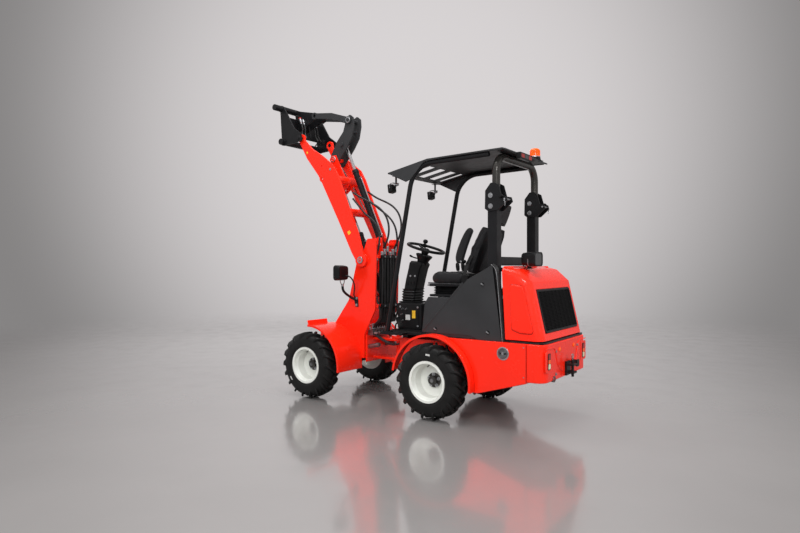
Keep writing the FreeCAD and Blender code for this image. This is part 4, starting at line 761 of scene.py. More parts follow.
def backShape(share, centre, reach):
    # narrower at the top, with wings that come forward round the driver's ribs
    x, y, z = share
    narrow = 1 - 0.16 * max(0.0, z) ** 2 - 0.05 * min(0.0, z) ** 2
    wing = 0.042 * max(0.0, abs(y) - 0.5) / 0.5 * (1 - 0.5 * abs(z))
    crown = 0.012 * (1 - z * z) * (1 - y * y)
    return onBack(centre.z + reach.z * z, (centre.y + reach.y * y) * narrow * (1 - 0.04 * abs(x)),
            centre.x + reach.x * x + (wing if x > 0 else 0.4 * wing) + (crown if x > 0 else 0))


def headShape(share, centre, reach):
    x, y, z = share
    return onBack(centre.z + reach.z * z, (centre.y + reach.y * y) * (1 - 0.1 * max(0.0, z) ** 2),
            centre.x + reach.x * x * (1 - 0.18 * abs(y) ** 3))


def stripes(value, spots):
    return min(abs(value - spot) for spot in spots)


def cushionChannels(place):
    ribs = stripes(place.x, seat["cushionRibs"]) if abs(place.y) < seat["cushionRibEnd"] else noSeam
    return min(ribs, stripes(abs(place.y), [seat["cushionSeam"]])) if place.z > seat["cushionTop"] else noSeam


def backChannels(place):
    rise = (place - backFoot).dot(backAxis)
    out = (place - backFoot).dot(backFace)
    ribs = stripes(rise, seat["backRibs"]) if abs(place.y) < seat["backRibEnd"] else noSeam
    return min(ribs, stripes(abs(place.y), [seat["backSeam"]])) if out > 0.0 else noSeam


def headChannels(place):
    # one seam round the headrest's edge
    return abs((place - backFoot).dot(backFace))


def makeSeat():
    low, high, inset = seatLow, seatHigh, seat["inset"]
    cushion = ((low.x + 0.02, low.y + inset, low.z + 0.002), (high.x - 0.03, high.y - inset, high.z - 0.004))
    for name, corners, cuts, reshape, edge, channels, stands in (
            ("seat_cushion_pad", cushion, 11, cushionShape, 0.01, cushionChannels, "seat_cushion"),
            ("seat_back_pad", seat["back"], 11, backShape, 0.012, backChannels, "seat_back"),
            ("headrest_pad", seat["head"], 9, headShape, 0.016, headChannels, None)):
        piece = roundEdges(shapedBlock(*corners, cuts, reshape), edge, 3, 50)
        paint(puffed(piece, channels), "seatVinyl")
        fit(piece, name, "chassis", 70)
        if stands:
            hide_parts(stands)


makeSeat()

seatFrame = {
    # how far up the back and how wide each row of the shell is
    "shell": ((0.02, 0.172), (0.12, 0.182), (0.25, 0.182), (0.36, 0.17), (0.415, 0.14)),
    "shellFront": -0.026, "shellRear": -0.044, "taper": 0.03, "shellEdge": 0.004,
    "strapY": 0.05, "strapLow": (0.36, -0.012), "strapHigh": (0.5, -0.006), "strapRadius": 0.007,
    "ribs": 5, "fold": 0.014, "bellowsX": 0.034, "bellowsY": 0.044, "bellowsRound": 0.02,
    "bellowsFoot": 0.022, "bellowsLoss": 0.05, "runnerY": 0.15, "runnerHalf": 0.016,
    # the release bar's bends, from the box's upper front edge
    "barBends": ((-0.02, 0.16, -0.018), (0.03, 0.17, -0.022), (0.045, 0.12, -0.022), (0.045, -0.12, -0.022),
        (0.03, -0.17, -0.022), (-0.02, -0.16, -0.018)), "barRadius": 0.005,
    "knob": [(0, 0.0), (0, 0.026), (0.006, 0.03), (0.024, 0.028), (0.028, 0.022), (0.028, 0.0)],
    "reelY": 0.212, "reelHalf": 0.018, "reelRear": (-0.7, 1.085), "reelFront": (-0.64, 1.165),
    # rear, front, side and height of the belt at three places
    "belt": ((-0.672, -0.64, 0.205, 1.16), (-0.69, -0.655, 0.2, 1.24), (-0.735, -0.7, 0.19, 1.33)),
    "beltThick": 0.0025,
    "buckle": ((-0.69, -0.2035, 1.15), (-0.655, -0.1835, 1.215)),
    "button": ((-0.688, -0.2, 1.21), (-0.657, -0.187, 1.222)),
}


def makeSeatFrame():
    # shell behind the pads, the headrest's straps, spring box, runners, release bar and belt
    own, parts = seatFrame, []
    front, rear, taper = own["shellFront"], own["shellRear"], own["taper"]
    shell = [[onBack(rise, -half, front), onBack(rise, half, front), onBack(rise, half - taper, rear),
            onBack(rise, taper - half, rear)] for rise, half in own["shell"]]
    add(parts, "plasticBlack", roundEdges(drawnOut(shell), own["shellEdge"]))
    for aside in (-own["strapY"], own["strapY"]):
        (lowRise, lowOut), (highRise, highOut) = own["strapLow"], own["strapHigh"]
        add(parts, "steelGrey", rod(onBack(lowRise, aside, lowOut), onBack(highRise, aside, highOut),
                own["strapRadius"]))
    low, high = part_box("seat_mount")
    add(parts, "hoseRubber", bellows(
        (low.x + own["bellowsX"], low.y + own["bellowsY"]),
        (high.x - own["bellowsX"], high.y - own["bellowsY"]),
        own["bellowsRound"], own["ribs"], own["fold"], low.z + own["bellowsFoot"],
        high.z - low.z - own["bellowsLoss"]))
    for level, inset, tall in ((low.z, 0.004, 0.022), (high.z - 0.03, 0.002, 0.02)):
        add(parts, "paintBlack", block((low.x + inset, low.y + inset, level),
                (high.x - inset, high.y - inset, level + tall), 0.005))
    for side in (1, -1):
        y, half = side * own["runnerY"], own["runnerHalf"]
        add(parts, "steelGrey", block((low.x - 0.01, y - half, high.z - 0.01),
                (high.x + 0.024, y + half, high.z + 0.004), 0.002))
    add(parts, "paintBlack",
            bar([(high.x + x, y, high.z + z) for x, y, z in own["barBends"]], own["barRadius"]))
    add(parts, "plasticBlack", spun(own["knob"], (high.x - 0.004, -0.09, low.z + 0.052), (1, 0, 0), 24))
    (rearX, lowZ), (frontX, highZ), half = own["reelRear"], own["reelFront"], own["reelHalf"]
    for side in (1, -1):
        y = side * own["reelY"]
        add(parts, "plasticBlack", block((rearX, y - half, lowZ), (frontX, y + half, highZ), 0.006))
    thick = own["beltThick"]
    add(parts, "hoseRubber",
            drawnOut([[(back, y, z), (fore, y, z), (fore, y + thick, z), (back, y + thick, z)]
            for back, fore, y, z in own["belt"]]))
    add(parts, "plasticBlack", block(*own["buckle"], 0.005))
    add(parts, "redLens", block(*own["button"], 0.003))
    finish(parts, "seat_frame", "chassis", stands="seat_mount")


makeSeatFrame()

armrest = {
    "y": 0.228, "line": [(-0.632, 1.262), (-0.618, 1.3), (-0.662, 1.42), (-0.716, 1.53), (-0.742, 1.548)],
    "halves": [0.026, 0.044, 0.04, 0.034, 0.02], "halfThick": 0.026, "steps": 12, "squareness": 0.7,
    "pivot": (-0.655, 1.278), "pivotReach": (0.196, 0.262), "capReach": (0.255, 0.265),
}


def makeArmrest(hand, side):
    # a padded arm folded up beside the back, on its pivot
    own, line, sections = armrest, armrest["line"], []
    for index, ((x, z), half) in enumerate(zip(line, own["halves"])):
        before, after = line[max(0, index - 1)], line[min(len(line) - 1, index + 1)]
        heading = Vector((after[0] - before[0], 0, after[1] - before[1])).normalized()
        outwards = Vector((heading.z, 0, -heading.x))
        ring = []
        for turn in turns(own["steps"]):
            ring.append(Vector((x, side * own["y"], z))
                    + outwards * half * squircle(math.cos(turn), own["squareness"])
                    + across * own["halfThick"] * squircle(math.sin(turn), own["squareness"]))
        sections.append(ring)
    parts = []
    add(parts, "seatVinyl", useModifier(drawnOut(sections), "SUBSURF", levels=2, render_levels=2))
    x, z = own["pivot"]
    for look, reach, radius, edge in (("plasticBlack", own["pivotReach"], 0.016, 0.003),
            ("zinc", own["capReach"], 0.009, 0.002)):
        add(parts, look, rod((x, side * reach[0], z), (x, side * reach[1], z), radius, edge))
    finish(parts, "armrest_" + hand, "chassis", 50)


for hand, side in sides.items():
    makeArmrest(hand, side)
print("seat puffed and sewn")

wheelMiddle = jointPlace["steering_wheel_turn"]
wheelAxis = Vector((-0.292372, 0.0, 0.956305))
wheelFore = across.cross(wheelAxis)
steering = {
    "ring": 0.1685, "grip": 0.0128, "gripSteps": 20, "knobAt": (0.102, -0.121), "spokes": 3,
    # distance out, half width, underside and top of a spoke
    "spoke": ((0.02, 0.021, -0.022, -0.012), (0.075, 0.017, -0.018, -0.01),
        (0.125, 0.014, -0.009, -0.001), (0.16, 0.019, -0.005, 0.004)), "spokeTaper": 0.72,
    "hub": [(-0.06, 0.0), (-0.06, 0.028), (-0.046, 0.033), (-0.024, 0.038), (-0.008, 0.036), (-0.002, 0.03),
        (0.0, 0.022), (0.001, 0.0)],
    "shaft": (-0.105, -0.055), "shaftRadius": 0.0155,
    "clamp": [(-0.016, 0.0), (-0.016, 0.017), (0.014, 0.019), (0.018, 0.012), (0.018, 0.0)],
    "knob": [(0.016, 0.0), (0.016, 0.008), (0.022, 0.01), (0.028, 0.02), (0.04, 0.024), (0.052, 0.021),
        (0.059, 0.012), (0.061, 0.0)],
}


def onWheel(fore, aside, rise):
    return wheelMiddle + wheelFore * fore + across * aside + wheelAxis * rise


def makeSteeringWheel():
    own, parts = steering, []
    grip, taper = own["grip"], own["spokeTaper"]
    ring = [(grip * math.sin(turn), own["ring"] + grip * math.cos(turn)) for turn in turns(own["gripSteps"])]
    add(parts, "plasticBlack", spun(ring, wheelMiddle, wheelAxis, 96))
    for turn in turns(own["spokes"], math.radians(90)):
        c, s = math.cos(turn), math.sin(turn)
        spoke = [[onWheel(reach * c - w * s, reach * s + w * c, rise)
                for w, rise in ((-half, low), (half, low), (taper * half, high), (-taper * half, high))]
                for reach, half, low, high in own["spoke"]]
        add(parts, "plasticBlack", roundEdges(drawnOut(spoke), 0.002))
    add(parts, "plasticBlack", spun(own["hub"], wheelMiddle, wheelAxis, 40))
    low, high = own["shaft"]
    add(parts, "steelGrey", rod(onWheel(0, 0, low), onWheel(0, 0, high), own["shaftRadius"]))
    knobPlace = onWheel(*own["knobAt"], 0)
    add(parts, "plasticBlack", spun(own["clamp"], knobPlace, wheelAxis, 24),
            spun(own["knob"], knobPlace, wheelAxis, 28))
    finish(parts, "steering_wheel_finished", "steering_wheel", 45, "steering_wheel")


makeSteeringWheel()

column = {
    "folds": 5, "fold": 0.011, "bootRear": -0.052, "bootFront": 0.078, "bootHalf": 0.078,
    "bootLean": (0.014, 0.01),
    "bootRound": 0.022, "bootFoot": 0.905, "bootTall": 0.125,
    "collar": ((-0.072, -0.098, 0.9045), (0.098, 0.098, 0.916)),
    # front, rear, half width, height and slope of the box's rings
    "box": ((0.062, -0.07, 0.076, 1.026, 0.0), (0.04, -0.092, 0.078, 1.12, 0.0),
        (0.012, -0.118, 0.08, 1.215, 0.0),
        (0.0, -0.138, 0.078, 1.252, 0.02), (-0.012, -0.134, 0.066, 1.27, 0.02)), "boxRound": 0.018,
    "cup": [(-0.15, 0.019), (-0.15, 0.046), (-0.128, 0.05), (-0.1, 0.06), (-0.078, 0.074), (-0.066, 0.078),
        (-0.064, 0.074), (-0.08, 0.058), (-0.094, 0.03), (-0.094, 0.019)],
    "stalk": ((0.05, -0.105), (0.11, -0.1), (0.165, -0.085)), "stalkTip": ((0.15, -0.089), (0.18, -0.08)),
    "stalkFore": 0.03, "sideY": 0.074, "screws": ((-0.02, 1.15), (-0.07, 1.15)),
    "switches": 3, "switchX": 0.02, "switchPitch": 0.034,
}


def makeColumn():
    # rubber boot on the console, the column's box and the cup under the wheel
    own, parts = column, []
    add(parts, "hoseRubber", bellows(
        (own["bootRear"], -own["bootHalf"]), (own["bootFront"], own["bootHalf"]), own["bootRound"],
        own["folds"],
        own["fold"], own["bootFoot"], own["bootTall"], own["bootLean"]))
    add(parts, "plasticBlack", block(*own["collar"], 0.004))
    rings = []
    for front, rear, half, level, slope in own["box"]:
        ring = roundedRing((rear, -half), (front, half), own["boxRound"], level)
        rings.append([(x, y, z + slope * (x - rear) / (front - rear)) for x, y, z in ring])
    add(parts, "plasticBlack", roundEdges(drawnOut(rings), 0.002, 2, 30),
            spun(own["cup"], wheelMiddle, wheelAxis, 40))
    # stalk, switches and two screws on the column's side
    stalk, tip = ([onWheel(own["stalkFore"], aside, rise) for aside, rise in own[key]] for key in ("stalk",
            "stalkTip"))
    add(parts, "plasticBlack", bar(stalk, 0.006), rod(*tip, 0.009, 0.003))
    y = own["sideY"]
    for x, z in own["screws"]:
        add(parts, "zinc", rod((x, y, z), (x, y + 0.0095, z), 0.0095, 0.002, 24))
    for index in range(own["switches"]):
        x = own["switchX"] - own["switchPitch"] * index
        add(parts, "plasticBlack", block((x - 0.012, y, 1.067), (x + 0.012, y + 0.009, 1.103), 0.003))
    finish(parts, "steering_column_finished", "chassis", 40, "steering_column")


makeColumn()
print("steering made")

panelFace = 0.43
tankFace = 0.46


def hexBolt(radius=0.008, head=0.006, washer=True):
    # one bolt standing on the origin and pointing along +Y
    bolt = paint(rod((0, 0.001, 0), (0, 0.001 + head, 0), radius, 0.001, 6), "zinc")
    if washer:
        ring = spun([(0, 0.0), (0, radius * 1.45), (0.0014, radius * 1.45), (0.002, radius * 1.3),
                (0.002, 0.0)],
                (0, 0, 0), across, 24)
        bolt = joined(bolt, paint(ring, "zinc"))
    return bolt


def scatter(template, spots):
    # each spot is a place and the direction that the copy faces
    copies = []
    for place, facing in spots:
        turn = across.rotation_difference(Vector(facing)).to_matrix().to_4x4()
        copies.append(copied(template, Matrix.Translation(place) @ turn))
    bpy.data.objects.remove(template)
    return joined(*copies)


def roundedOutline(corners, radius, steps=5):
    # X and Z corners with each corner rounded off
    points = []
    for index, corner in enumerate(corners):
        corner = Vector(corner)
        before = (Vector(corners[index - 1]) - corner).normalized()
        after = (Vector(corners[(index + 1) % len(corners)]) - corner).normalized()
        half = before.angle(after) / 2
        reach = radius / math.tan(half)
        middle = corner + (before + after).normalized() * (radius / math.sin(half))
        start, end = corner + before * reach - middle, corner + after * reach - middle
        sweep = start.angle_signed(end)
        for step in range(steps + 1):
            turn = -sweep * step / steps
            points.append(tuple(middle + Vector((start.x * math.cos(turn) - start.y * math.sin(turn),
                    start.x * math.sin(turn) + start.y * math.cos(turn)))))
    return points


def inFrom(outline, inset):
    centre = Vector((sum(x for x, _ in outline) / len(outline), sum(z for _, z in outline) / len(outline)))
    points = []
    for spot in outline:
        away = Vector(spot) - centre
        points.append(tuple(centre + away * (1 - inset / away.length)))
    return points


hoodDoor = {
    "outline": [(-1.172, 1.106), (-1.282, 1.094), (-1.366, 0.738), (-1.262, 0.74), (-1.19, 0.762)],
    "round": 0.022,
    # how far in from the outline and how proud of the panel each ring is
    "rings": ((0.0, -0.006), (0.0, 0.001), (0.0035, 0.0055), (0.01, 0.0075), (0.017, 0.0075)),
    # the gap is a thin black ring just outside the door's outline, painted shade for the shadow line along
    # the door's step
    "gap": ((-0.003, -0.003), (-0.003, 0.0006)),
}


def makeHoodDoors():
    outline = roundedOutline(hoodDoor["outline"], hoodDoor["round"])
    for hand, side in sides.items():
        # door is the raised red panel, and gap is the black ring round it, painted shade along the door's
        # step
        door, gap = (drawnOut([[(x, side * (panelFace + proud), z) for x, z in inFrom(outline, inset)]
                for inset, proud in hoodDoor[key]]) for key in ("rings", "gap"))
        fit(joined(paint(roundEdges(door, 0.0008, 2, 50), "paintRed"), paint(gap, "plasticBlack")),
            "hood_door_" + hand, "hood", 60)


makeHoodDoors()

grille = {
    "bars": 26, "ribs": 9, "round": 0.03, "leastRound": 0.006, "topGap": 0.01, "endGap": 0.016,
    "barMargin": 0.022,
    # inset and proudness of the frame's rings, round its open middle
    "frame": ((0.0, -0.004), (0.0, 0.0035), (0.003, 0.0065), (0.014, 0.0065), (0.018, 0.003),
        (0.018, -0.003)),
    "screen": ((0.006, -0.004), (0.006, -0.002)),
    # rise and proudness of a bar's corners, and offset and proudness of a rib's
    "bar": ((-0.0026, 0.0), (0.0026, 0.0), (0.001, 0.0042), (-0.003, 0.0034)),
    "rib": ((-0.0022, 0.0), (0.0022, 0.0), (0.0016, 0.003), (-0.0016, 0.003)),
}


def makeGrille():
    # a frame, a dark screen and fine bars set on the hood's leaning rear face
    own, parts = grille, []
    low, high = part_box("grille")
    bottom, top = Vector((low.x, 0, low.z)), Vector((high.x - own["topGap"], 0, high.z))
    slope = (top - bottom).normalized()
    out = Vector((-slope.z, 0, slope.x))
    tall, half, gap = (top - bottom).length, high.y, own["endGap"]

    def onFace(aside, rise, proud):
        return bottom + across * aside + slope * rise + out * proud

    def frameRing(inset, proud):
        ring = roundedRing((-half + inset, inset), (half - inset, tall - inset),
                max(own["leastRound"], own["round"] - inset), 0.0, 6)
        return [onFace(y, z, proud) for y, z, _ in ring]

    add(parts, "screenBlack", drawnOut([frameRing(*row) for row in own["screen"]]))
    frameWork = drawnOut([frameRing(*row) for row in own["frame"]])
    shape = openMesh(frameWork)
    for face in shape.faces:
        face.select = len(face.verts) > 4
    bmesh.update_edit_mesh(frameWork.data)
    bpy.ops.mesh.delete(type="ONLY_FACE")
    bpy.ops.object.mode_set(mode="OBJECT")
    add(parts, "plasticBlack", frameWork)
    step = (tall - 2 * own["barMargin"]) / own["bars"]
    for index in range(1, own["bars"]):
        rise = own["barMargin"] + step * index
        add(parts, "screenBlack", drawnOut([[onFace(y, rise + up, proud) for up, proud in own["bar"]]
                for y in (gap - half, half - gap)]))
    for index in range(1, own["ribs"]):
        y = -half + 2 * half * index / own["ribs"]
        add(parts, "screenBlack", drawnOut([[onFace(y + aside, rise, proud) for aside, proud in own["rib"]]
                for rise in (gap, tall - gap)]))
    finish(parts, "grille_finished", "hood", 35, "grille")


makeGrille()

seals = {
    "line": [(-1.014, 1.252), (-1.045, 1.236), (-1.062, 1.18), (-1.078, 1.0), (-1.1, 0.76), (-1.108, 0.668)],
    # look, distance behind the line, distance in from the panel's face and radius
    "strips": (("sealRubber", 0.004, 0.003, 0.0042), ("hoseRubber", 0.013, 0.006, 0.0075),
        ("hoseRubber", 0.013, 0.021, 0.0115)),
}


def makeSeals():
    # the pale strip and dark lip between panel and hood, and the deck's black edge
    parts = []
    for side in (1, -1):
        for look, back, inward, radius in seals["strips"]:
            add(parts, look, bar([(x - back, side * (panelFace - inward), z) for x, z in seals["line"]],
                    radius))
    finish(parts, "panel_seals", "chassis", 60)
    low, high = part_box("deck")
    ring = roundedRing((low.x - 0.006, -high.y - 0.005), (high.x, high.y + 0.005), 0.06, low.z + 0.0008)
    inner = roundedRing((low.x + 0.001, -high.y + 0.002), (high.x, high.y - 0.002), 0.056, low.z + 0.015)
    edge = paint(drawnOut([ring, [(x, y, low.z + 0.013) for x, y, _ in ring], inner]), "hoseRubber")
    fit(edge, "deck_edge", "chassis", 45)


makeSeals()

sidePanel = {
    "latches": ((-0.945, 1.1), (-0.512, 0.727), (-0.99, 0.729)), "latchTurn": 35,
    "washer": [(0, 0.0), (0, 0.0155), (0.0018, 0.0155), (0.003, 0.013), (0.003, 0.0)],
    "wing": ((-0.013, -0.0035), (0.013, -0.0055), (0.013, 0.0055), (-0.013, 0.0035)),
    "wingRise": (0.002, 0.009),
    "crease": ((-0.386, 0.7), (-0.77, 1.108)),
    # distance aside from the crease's line and out from the panel's face
    "creaseRing": ((-0.016, -0.001), (0.002, 0.0042), (0.006, 0.0042), (0.009, -0.001)),
    "plate": ((-0.7, 0.985), (-0.7, 0.93), (-0.64, 0.93), (-0.64, 0.985)), "plateRise": (-0.001, 0.0008),
}
tank = {
    "seamX": (-1.3195, -1.3165), "seamZ": (0.38, 0.66),
    "ring": [(-0.004, 0.0405), (-0.004, 0.05), (0.002, 0.05), (0.0038, 0.047), (0.003, 0.0405)],
    "cap": [(-0.005, 0.0), (-0.005, 0.0375), (0.0, 0.039), (0.003, 0.0365), (0.003, 0.03),
        (-0.001, 0.027), (-0.001, 0.013), (0.006, 0.0115), (0.0075, 0.0085), (0.0075, 0.0)],
    "lock": [(0.006, 0.0), (0.006, 0.0085), (0.0085, 0.008), (0.009, 0.0)],
    "grip": (0.024, 0.006), "gripOut": (-0.001, 0.0065),
}


def makePanelFittings(hand, side):
    # latches, the pressed crease and a bare plate's place
    own, parts, y = sidePanel, [], side * panelFace
    turn = math.radians(own["latchTurn"])
    for x, z in own["latches"]:
        add(parts, "plasticBlack", spun(own["washer"], (x, y, z), (0, side, 0), 28))
        wing = drawnOut([[(x + u * math.cos(turn) - w * math.sin(turn), y + side * rise,
                z + u * math.sin(turn) + w * math.cos(turn)) for u, w in own["wing"]]
                for rise in own["wingRise"]])
        add(parts, "zinc", roundEdges(wing, 0.0012),
            rod((x, y + side * 0.002, z), (x, y + side * 0.011, z), 0.005, 0.001, 20))
    (startX, startZ), (endX, endZ) = own["crease"]
    heading = Vector((endX - startX, 0, endZ - startZ)).normalized()
    aside = Vector((heading.z, 0, -heading.x))
    crease = drawnOut([[Vector((x, y, z)) + aside * off + across * side * out for off,
            out in own["creaseRing"]]
            for x, z in own["crease"]])
    plate = drawnOut([[(x, side * (panelFace + rise), z) for x,
            z in own["plate"]] for rise in own["plateRise"]])
    add(parts, "paintCharcoal", roundEdges(crease, 0.0012, 2, 20), roundEdges(plate, 0.0003))
    finish(parts, "panel_fittings_" + hand, "chassis")


def makeTankFittings(hand, side):
    # the tank's seam, and the filler's ring and cap on the left
    own, parts, y = tank, [], side * tankFace
    add(parts, "plasticBlack", block((own["seamX"][0], y - 0.003 * side - 0.002, own["seamZ"][0]),
            (own["seamX"][1], y - 0.003 * side + 0.0035, own["seamZ"][1]), 0.0005))
    low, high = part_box("fuel_cap")
    middle = (low + high) / 2
    centre = (middle.x, side * (tankFace + 0.0002), middle.z)
    add(parts, "zinc" if side > 0 else "paintRed", spun(own["ring"], centre, (0, side, 0), 48))
    if side > 0:
        (reach, half), (inner, outer) = own["grip"], own["gripOut"]
        add(parts, "steelGrey", spun(own["cap"], centre, (0, side, 0), 48))
        add(parts, "plasticBlack", block((middle.x - reach, tankFace + inner, middle.z - half),
                (middle.x + reach, tankFace + outer, middle.z + half), 0.003))
        add(parts, "zinc", spun(own["lock"], centre, (0, side, 0), 20))
    finish(parts, "tank_fittings_" + hand, "chassis",
            stands="fuel_cap" if side > 0 else None)


for hand, side in sides.items():
    makePanelFittings(hand, side)
    makeTankFittings(hand, side)

tail = {
    "y": 0.375,
    # half width, foot, head, corner, depth in, depth out, edge and look of each layer
    "layers": ((0.062, 0.462, 0.618, 0.018, 0.004, 0.0035, 0.001, "paintRed"),
        (0.026, 0.48, 0.6, 0.01, 0.002, 0.0075, 0.002, "plasticBlack"),
        (0.02, 0.486, 0.524, 0.006, -0.005, 0.009, 0.0015, "paleLens"),
        (0.02, 0.526, 0.556, 0.006, -0.005, 0.009, 0.0015, "amberLens"),
        (0.02, 0.558, 0.594, 0.006, -0.005, 0.009, 0.0015, "redLens")),
    "marker": [(0, 0.0), (0, 0.017), (0.004, 0.017), (0.007, 0.013), (0.0085, 0.0)],
    "markerAt": (0.155, 0.606),
    "pipe": [(-0.05, 0.015), (-0.05, 0.023), (0.018, 0.023), (0.02, 0.0215), (0.02, 0.0165), (0.018, 0.015)],
    "pipeAt": (0.275, 0.398),
    # the pin's handle above the hitch and the spring clip under it, as Y and height
    "handle": ((0.0, -0.001), (0.0, 0.012), (0.016, 0.022), (0.016, 0.046), (-0.016, 0.046), (-0.016, 0.022),
        (0.0, 0.012)),
    "clip": ((0.0, 0.01), (0.018, 0.004), (0.03, 0.012), (0.018, 0.022), (-0.004, 0.018)),
    "socket": [(0.0, 0.0), (0.0, 0.03), (0.01, 0.03), (0.012, 0.027), (0.04, 0.026), (0.044, 0.022),
        (0.044, 0.0)], "socketAt": (-0.12, 0.47),
    "bolts": ((0.03, 0.404), (0.03, 0.486), (0.235, 0.43), (0.235, 0.6)),
    "bayLine": ((0.43, 0.636), (0.3, 0.636), (0.25, 0.62), (0.225, 0.56), (0.19, 0.47), (0.1, 0.44)),
}


def makeRear():
    # tail lamps in their recessed plates, marker lamps, the pipe end, bolts and the hitch's pin
    own, parts, rearwards = tail, [], (-1, 0, 0)
    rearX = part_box("counterweight")[0].x
    for side in (1, -1):
        for half, foot, head, corner, inward, outward, edge, look in own["layers"]:
            ring = roundedRing((side * own["y"] - half, foot), (side * own["y"] + half, head), corner, 0.0)
            add(parts, look, roundEdges(drawnOut([[(rearX + inward, y, z) for y, z, _ in ring],
                    [(rearX - outward, y, z) for y, z, _ in ring]]), edge))
        aside, level = own["markerAt"]
        add(parts, "amberLens", spun(own["marker"], (rearX + 0.001, side * aside, level), rearwards, 28))
    finish(parts, "tail_lamps_finished", "chassis", stands="tail_lamps")
    parts = []
    add(parts, "steelGrey", spun(own["pipe"], (rearX + 0.012, *own["pipeAt"]), rearwards, 32))
    low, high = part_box("hitch")
    pinX = low.x + 0.022
    add(parts, "zinc", bar([(pinX, y, high.z + rise) for y, rise in own["handle"]], 0.0036),
        bar([(pinX, y, low.z + rise) for y, rise in own["clip"]], 0.0018))
    add(parts, "plasticBlack", spun(own["socket"], (rearX + 0.001, *own["socketAt"]), rearwards, 32),
        block((rearX - 0.05, -0.148, 0.444), (rearX - 0.043, -0.092, 0.5), 0.003))
    parts.append(scatter(hexBolt(0.009, 0.008), [((rearX, side * aside, level), rearwards)
            for side in (1, -1) for aside, level in own["bolts"]]))
    for side in (1, -1):
        # a raised outline round the lamp bay
        add(parts, "paintRed",
                bar([(rearX - 0.001, side * y, z) for y, z in own["bayLine"]], 0.0045, 3, 6, 3))
    finish(parts, "rear_fittings", "chassis")


makeRear()
print("hood, panels and tail dressed")

beacon = {
    "ribs": 24, "foot": 0.006, "ribCorners": ((0.0405, -0.0014, 0.038), (0.044, 0.0014, 0.092)),
    # height above the roof and radius
    "base": [(0.006, 0.0), (0.006, 0.05), (0.014, 0.05), (0.02, 0.047), (0.03, 0.046), (0.033, 0.043),
        (0.033, 0.0)],
    "dome": [(0.033, 0.0), (0.033, 0.0425), (0.04, 0.0425), (0.084, 0.0415), (0.098, 0.0385), (0.106, 0.03),
        (0.11, 0.016), (0.111, 0.0)],
    "ring": [(0.034, 0.042), (0.034, 0.0455), (0.04, 0.0455), (0.042, 0.0435), (0.042, 0.042)],
}


def makeBeacon():
    own, parts = beacon, []
    low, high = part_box("beacon")
    middle = Vector(((low.x + high.x) / 2, (low.y + high.y) / 2, low.z))
    add(parts, "paintBlack", block(low, (high.x, high.y, low.z + own["foot"]), 0.002))
    add(parts, "plasticBlack", spun(own["base"], middle, upward, 48))
    add(parts, "amberLens", spun(own["dome"], middle, upward, 48))
    ribLow, ribHigh = (middle + Vector(corner) for corner in own["ribCorners"])
    rib = paint(block(ribLow, ribHigh, 0.0008), "amberLens")
    about = Matrix.Translation((middle.x, middle.y, 0))
    parts += [copied(rib,
            about @ Matrix.Rotation(turn, 4, "Z") @ about.inverted()) for turn in turns(own["ribs"])]
    bpy.data.objects.remove(rib)
    add(parts, "zinc", spun(own["ring"], middle, upward, 48))
    finish(parts, "beacon_finished", "chassis", 45, "beacon")


makeBeacon()

lampShape = {
    # share of the depth from the back, of the half width and height, and of the half width for the corner
    "shell": ((0.0, 0.74, 0.26), (0.1, 0.88, 0.34), (0.45, 0.96, 0.36), (0.78, 0.97, 0.36), (0.8, 1.0, 0.38),
        (0.97, 1.0, 0.38), (1.0, 0.97, 0.36), (1.0, 0.86, 0.3), (0.94, 0.84, 0.29)),
    "lens": ((0.93, 0.85, 0.25), (0.955, 0.84, 0.25), (0.98, 0.7, 0.22)),
    "finSpread": 1.1, "finHalf": 0.0022, "finBack": 0.002, "finDepth": 0.16, "finTall": 0.5,
}


def lampHead(centre, facing, width, tall, depth, glass="clearLens", fins=5):
    # a work lamp: bezel, lens, tapered back with cooling fins. It is made facing +X and is then turned
    own, parts = lampShape, []
    half, rise, back = width / 2, tall / 2, -depth / 2

    def rings(rows):
        return [[(back + share * depth, y, z) for y, z, _ in roundedRing(
            (-size * half, -size * rise), (size * half, size * rise), corner * half, 0.0)]
            for share, size, corner in rows]

    add(parts, "plasticBlack", roundEdges(drawnOut(rings(own["shell"])), 0.0012, 2, 40))
    add(parts, glass, drawnOut(rings(own["lens"])))
    for index in range(fins):
        y = (index - (fins - 1) / 2) * own["finSpread"] * half / fins
        add(parts, "plasticBlack", block(
            (back - own["finBack"], y - own["finHalf"], -own["finTall"] * rise),
            (back + own["finDepth"] * depth, y + own["finHalf"], own["finTall"] * rise), 0.001))
    head = joined(*parts)
    ahead = Vector(facing).normalized()
    aside = upward.cross(ahead).normalized()
    turn = Matrix((ahead, aside, ahead.cross(aside))).transposed().to_4x4()
    head.data.transform(Matrix.Translation(centre) @ turn)
    return head


roofLamps = {
    "y": 0.32, "headX": 0.01, "headZ": 1.927, "facing": (0.99, 0, -0.12), "size": (0.078, 0.08, 0.044),
    # X, share of the half spread and Z along each leg of the fork
    "fork": ((-0.026, 0.3, 1.9735), (-0.004, 1.0, 1.973), (0.008, 1.0, 1.955), (0.01, 1.02, 1.926)),
    "forkHalf": 0.041, "forkRadius": 0.0032,
    "hoop": [(-0.004, 0.019), (-0.004, 0.026), (0.004, 0.026), (0.004, 0.019)], "hoopAxis": (0.25, 0, 0.97),
    "hoopZ": 1.9545, "postX": -0.032, "postFoot": 1.957, "postDrop": 0.106, "postRadius": 0.0085,
    # rear, front and half width of the plates at the post's foot and head
    "footPlate": (-0.052, -0.012, 0.02, 1.9685, 1.9735), "headPlate": (-0.06, -0.006, 0.024),
    "headPlateDrop": (0.108, 0.104),
    "cable": ((0.0, 0.0, 1.906), (-0.022, 0.0, 1.91), (-0.04, 0.01, 1.945), (-0.05, 0.016, 1.968)),
    "cableRadius": 0.0028,
    "boxLow": (0.0, -0.01, -0.052), "boxHigh": (0.036, 0.22, 0.0),
    "windows": ("redLens", "darkGlass", "redLens"),
    "windowStart": 0.012, "windowPitch": 0.07, "windowWide": 0.064,
}


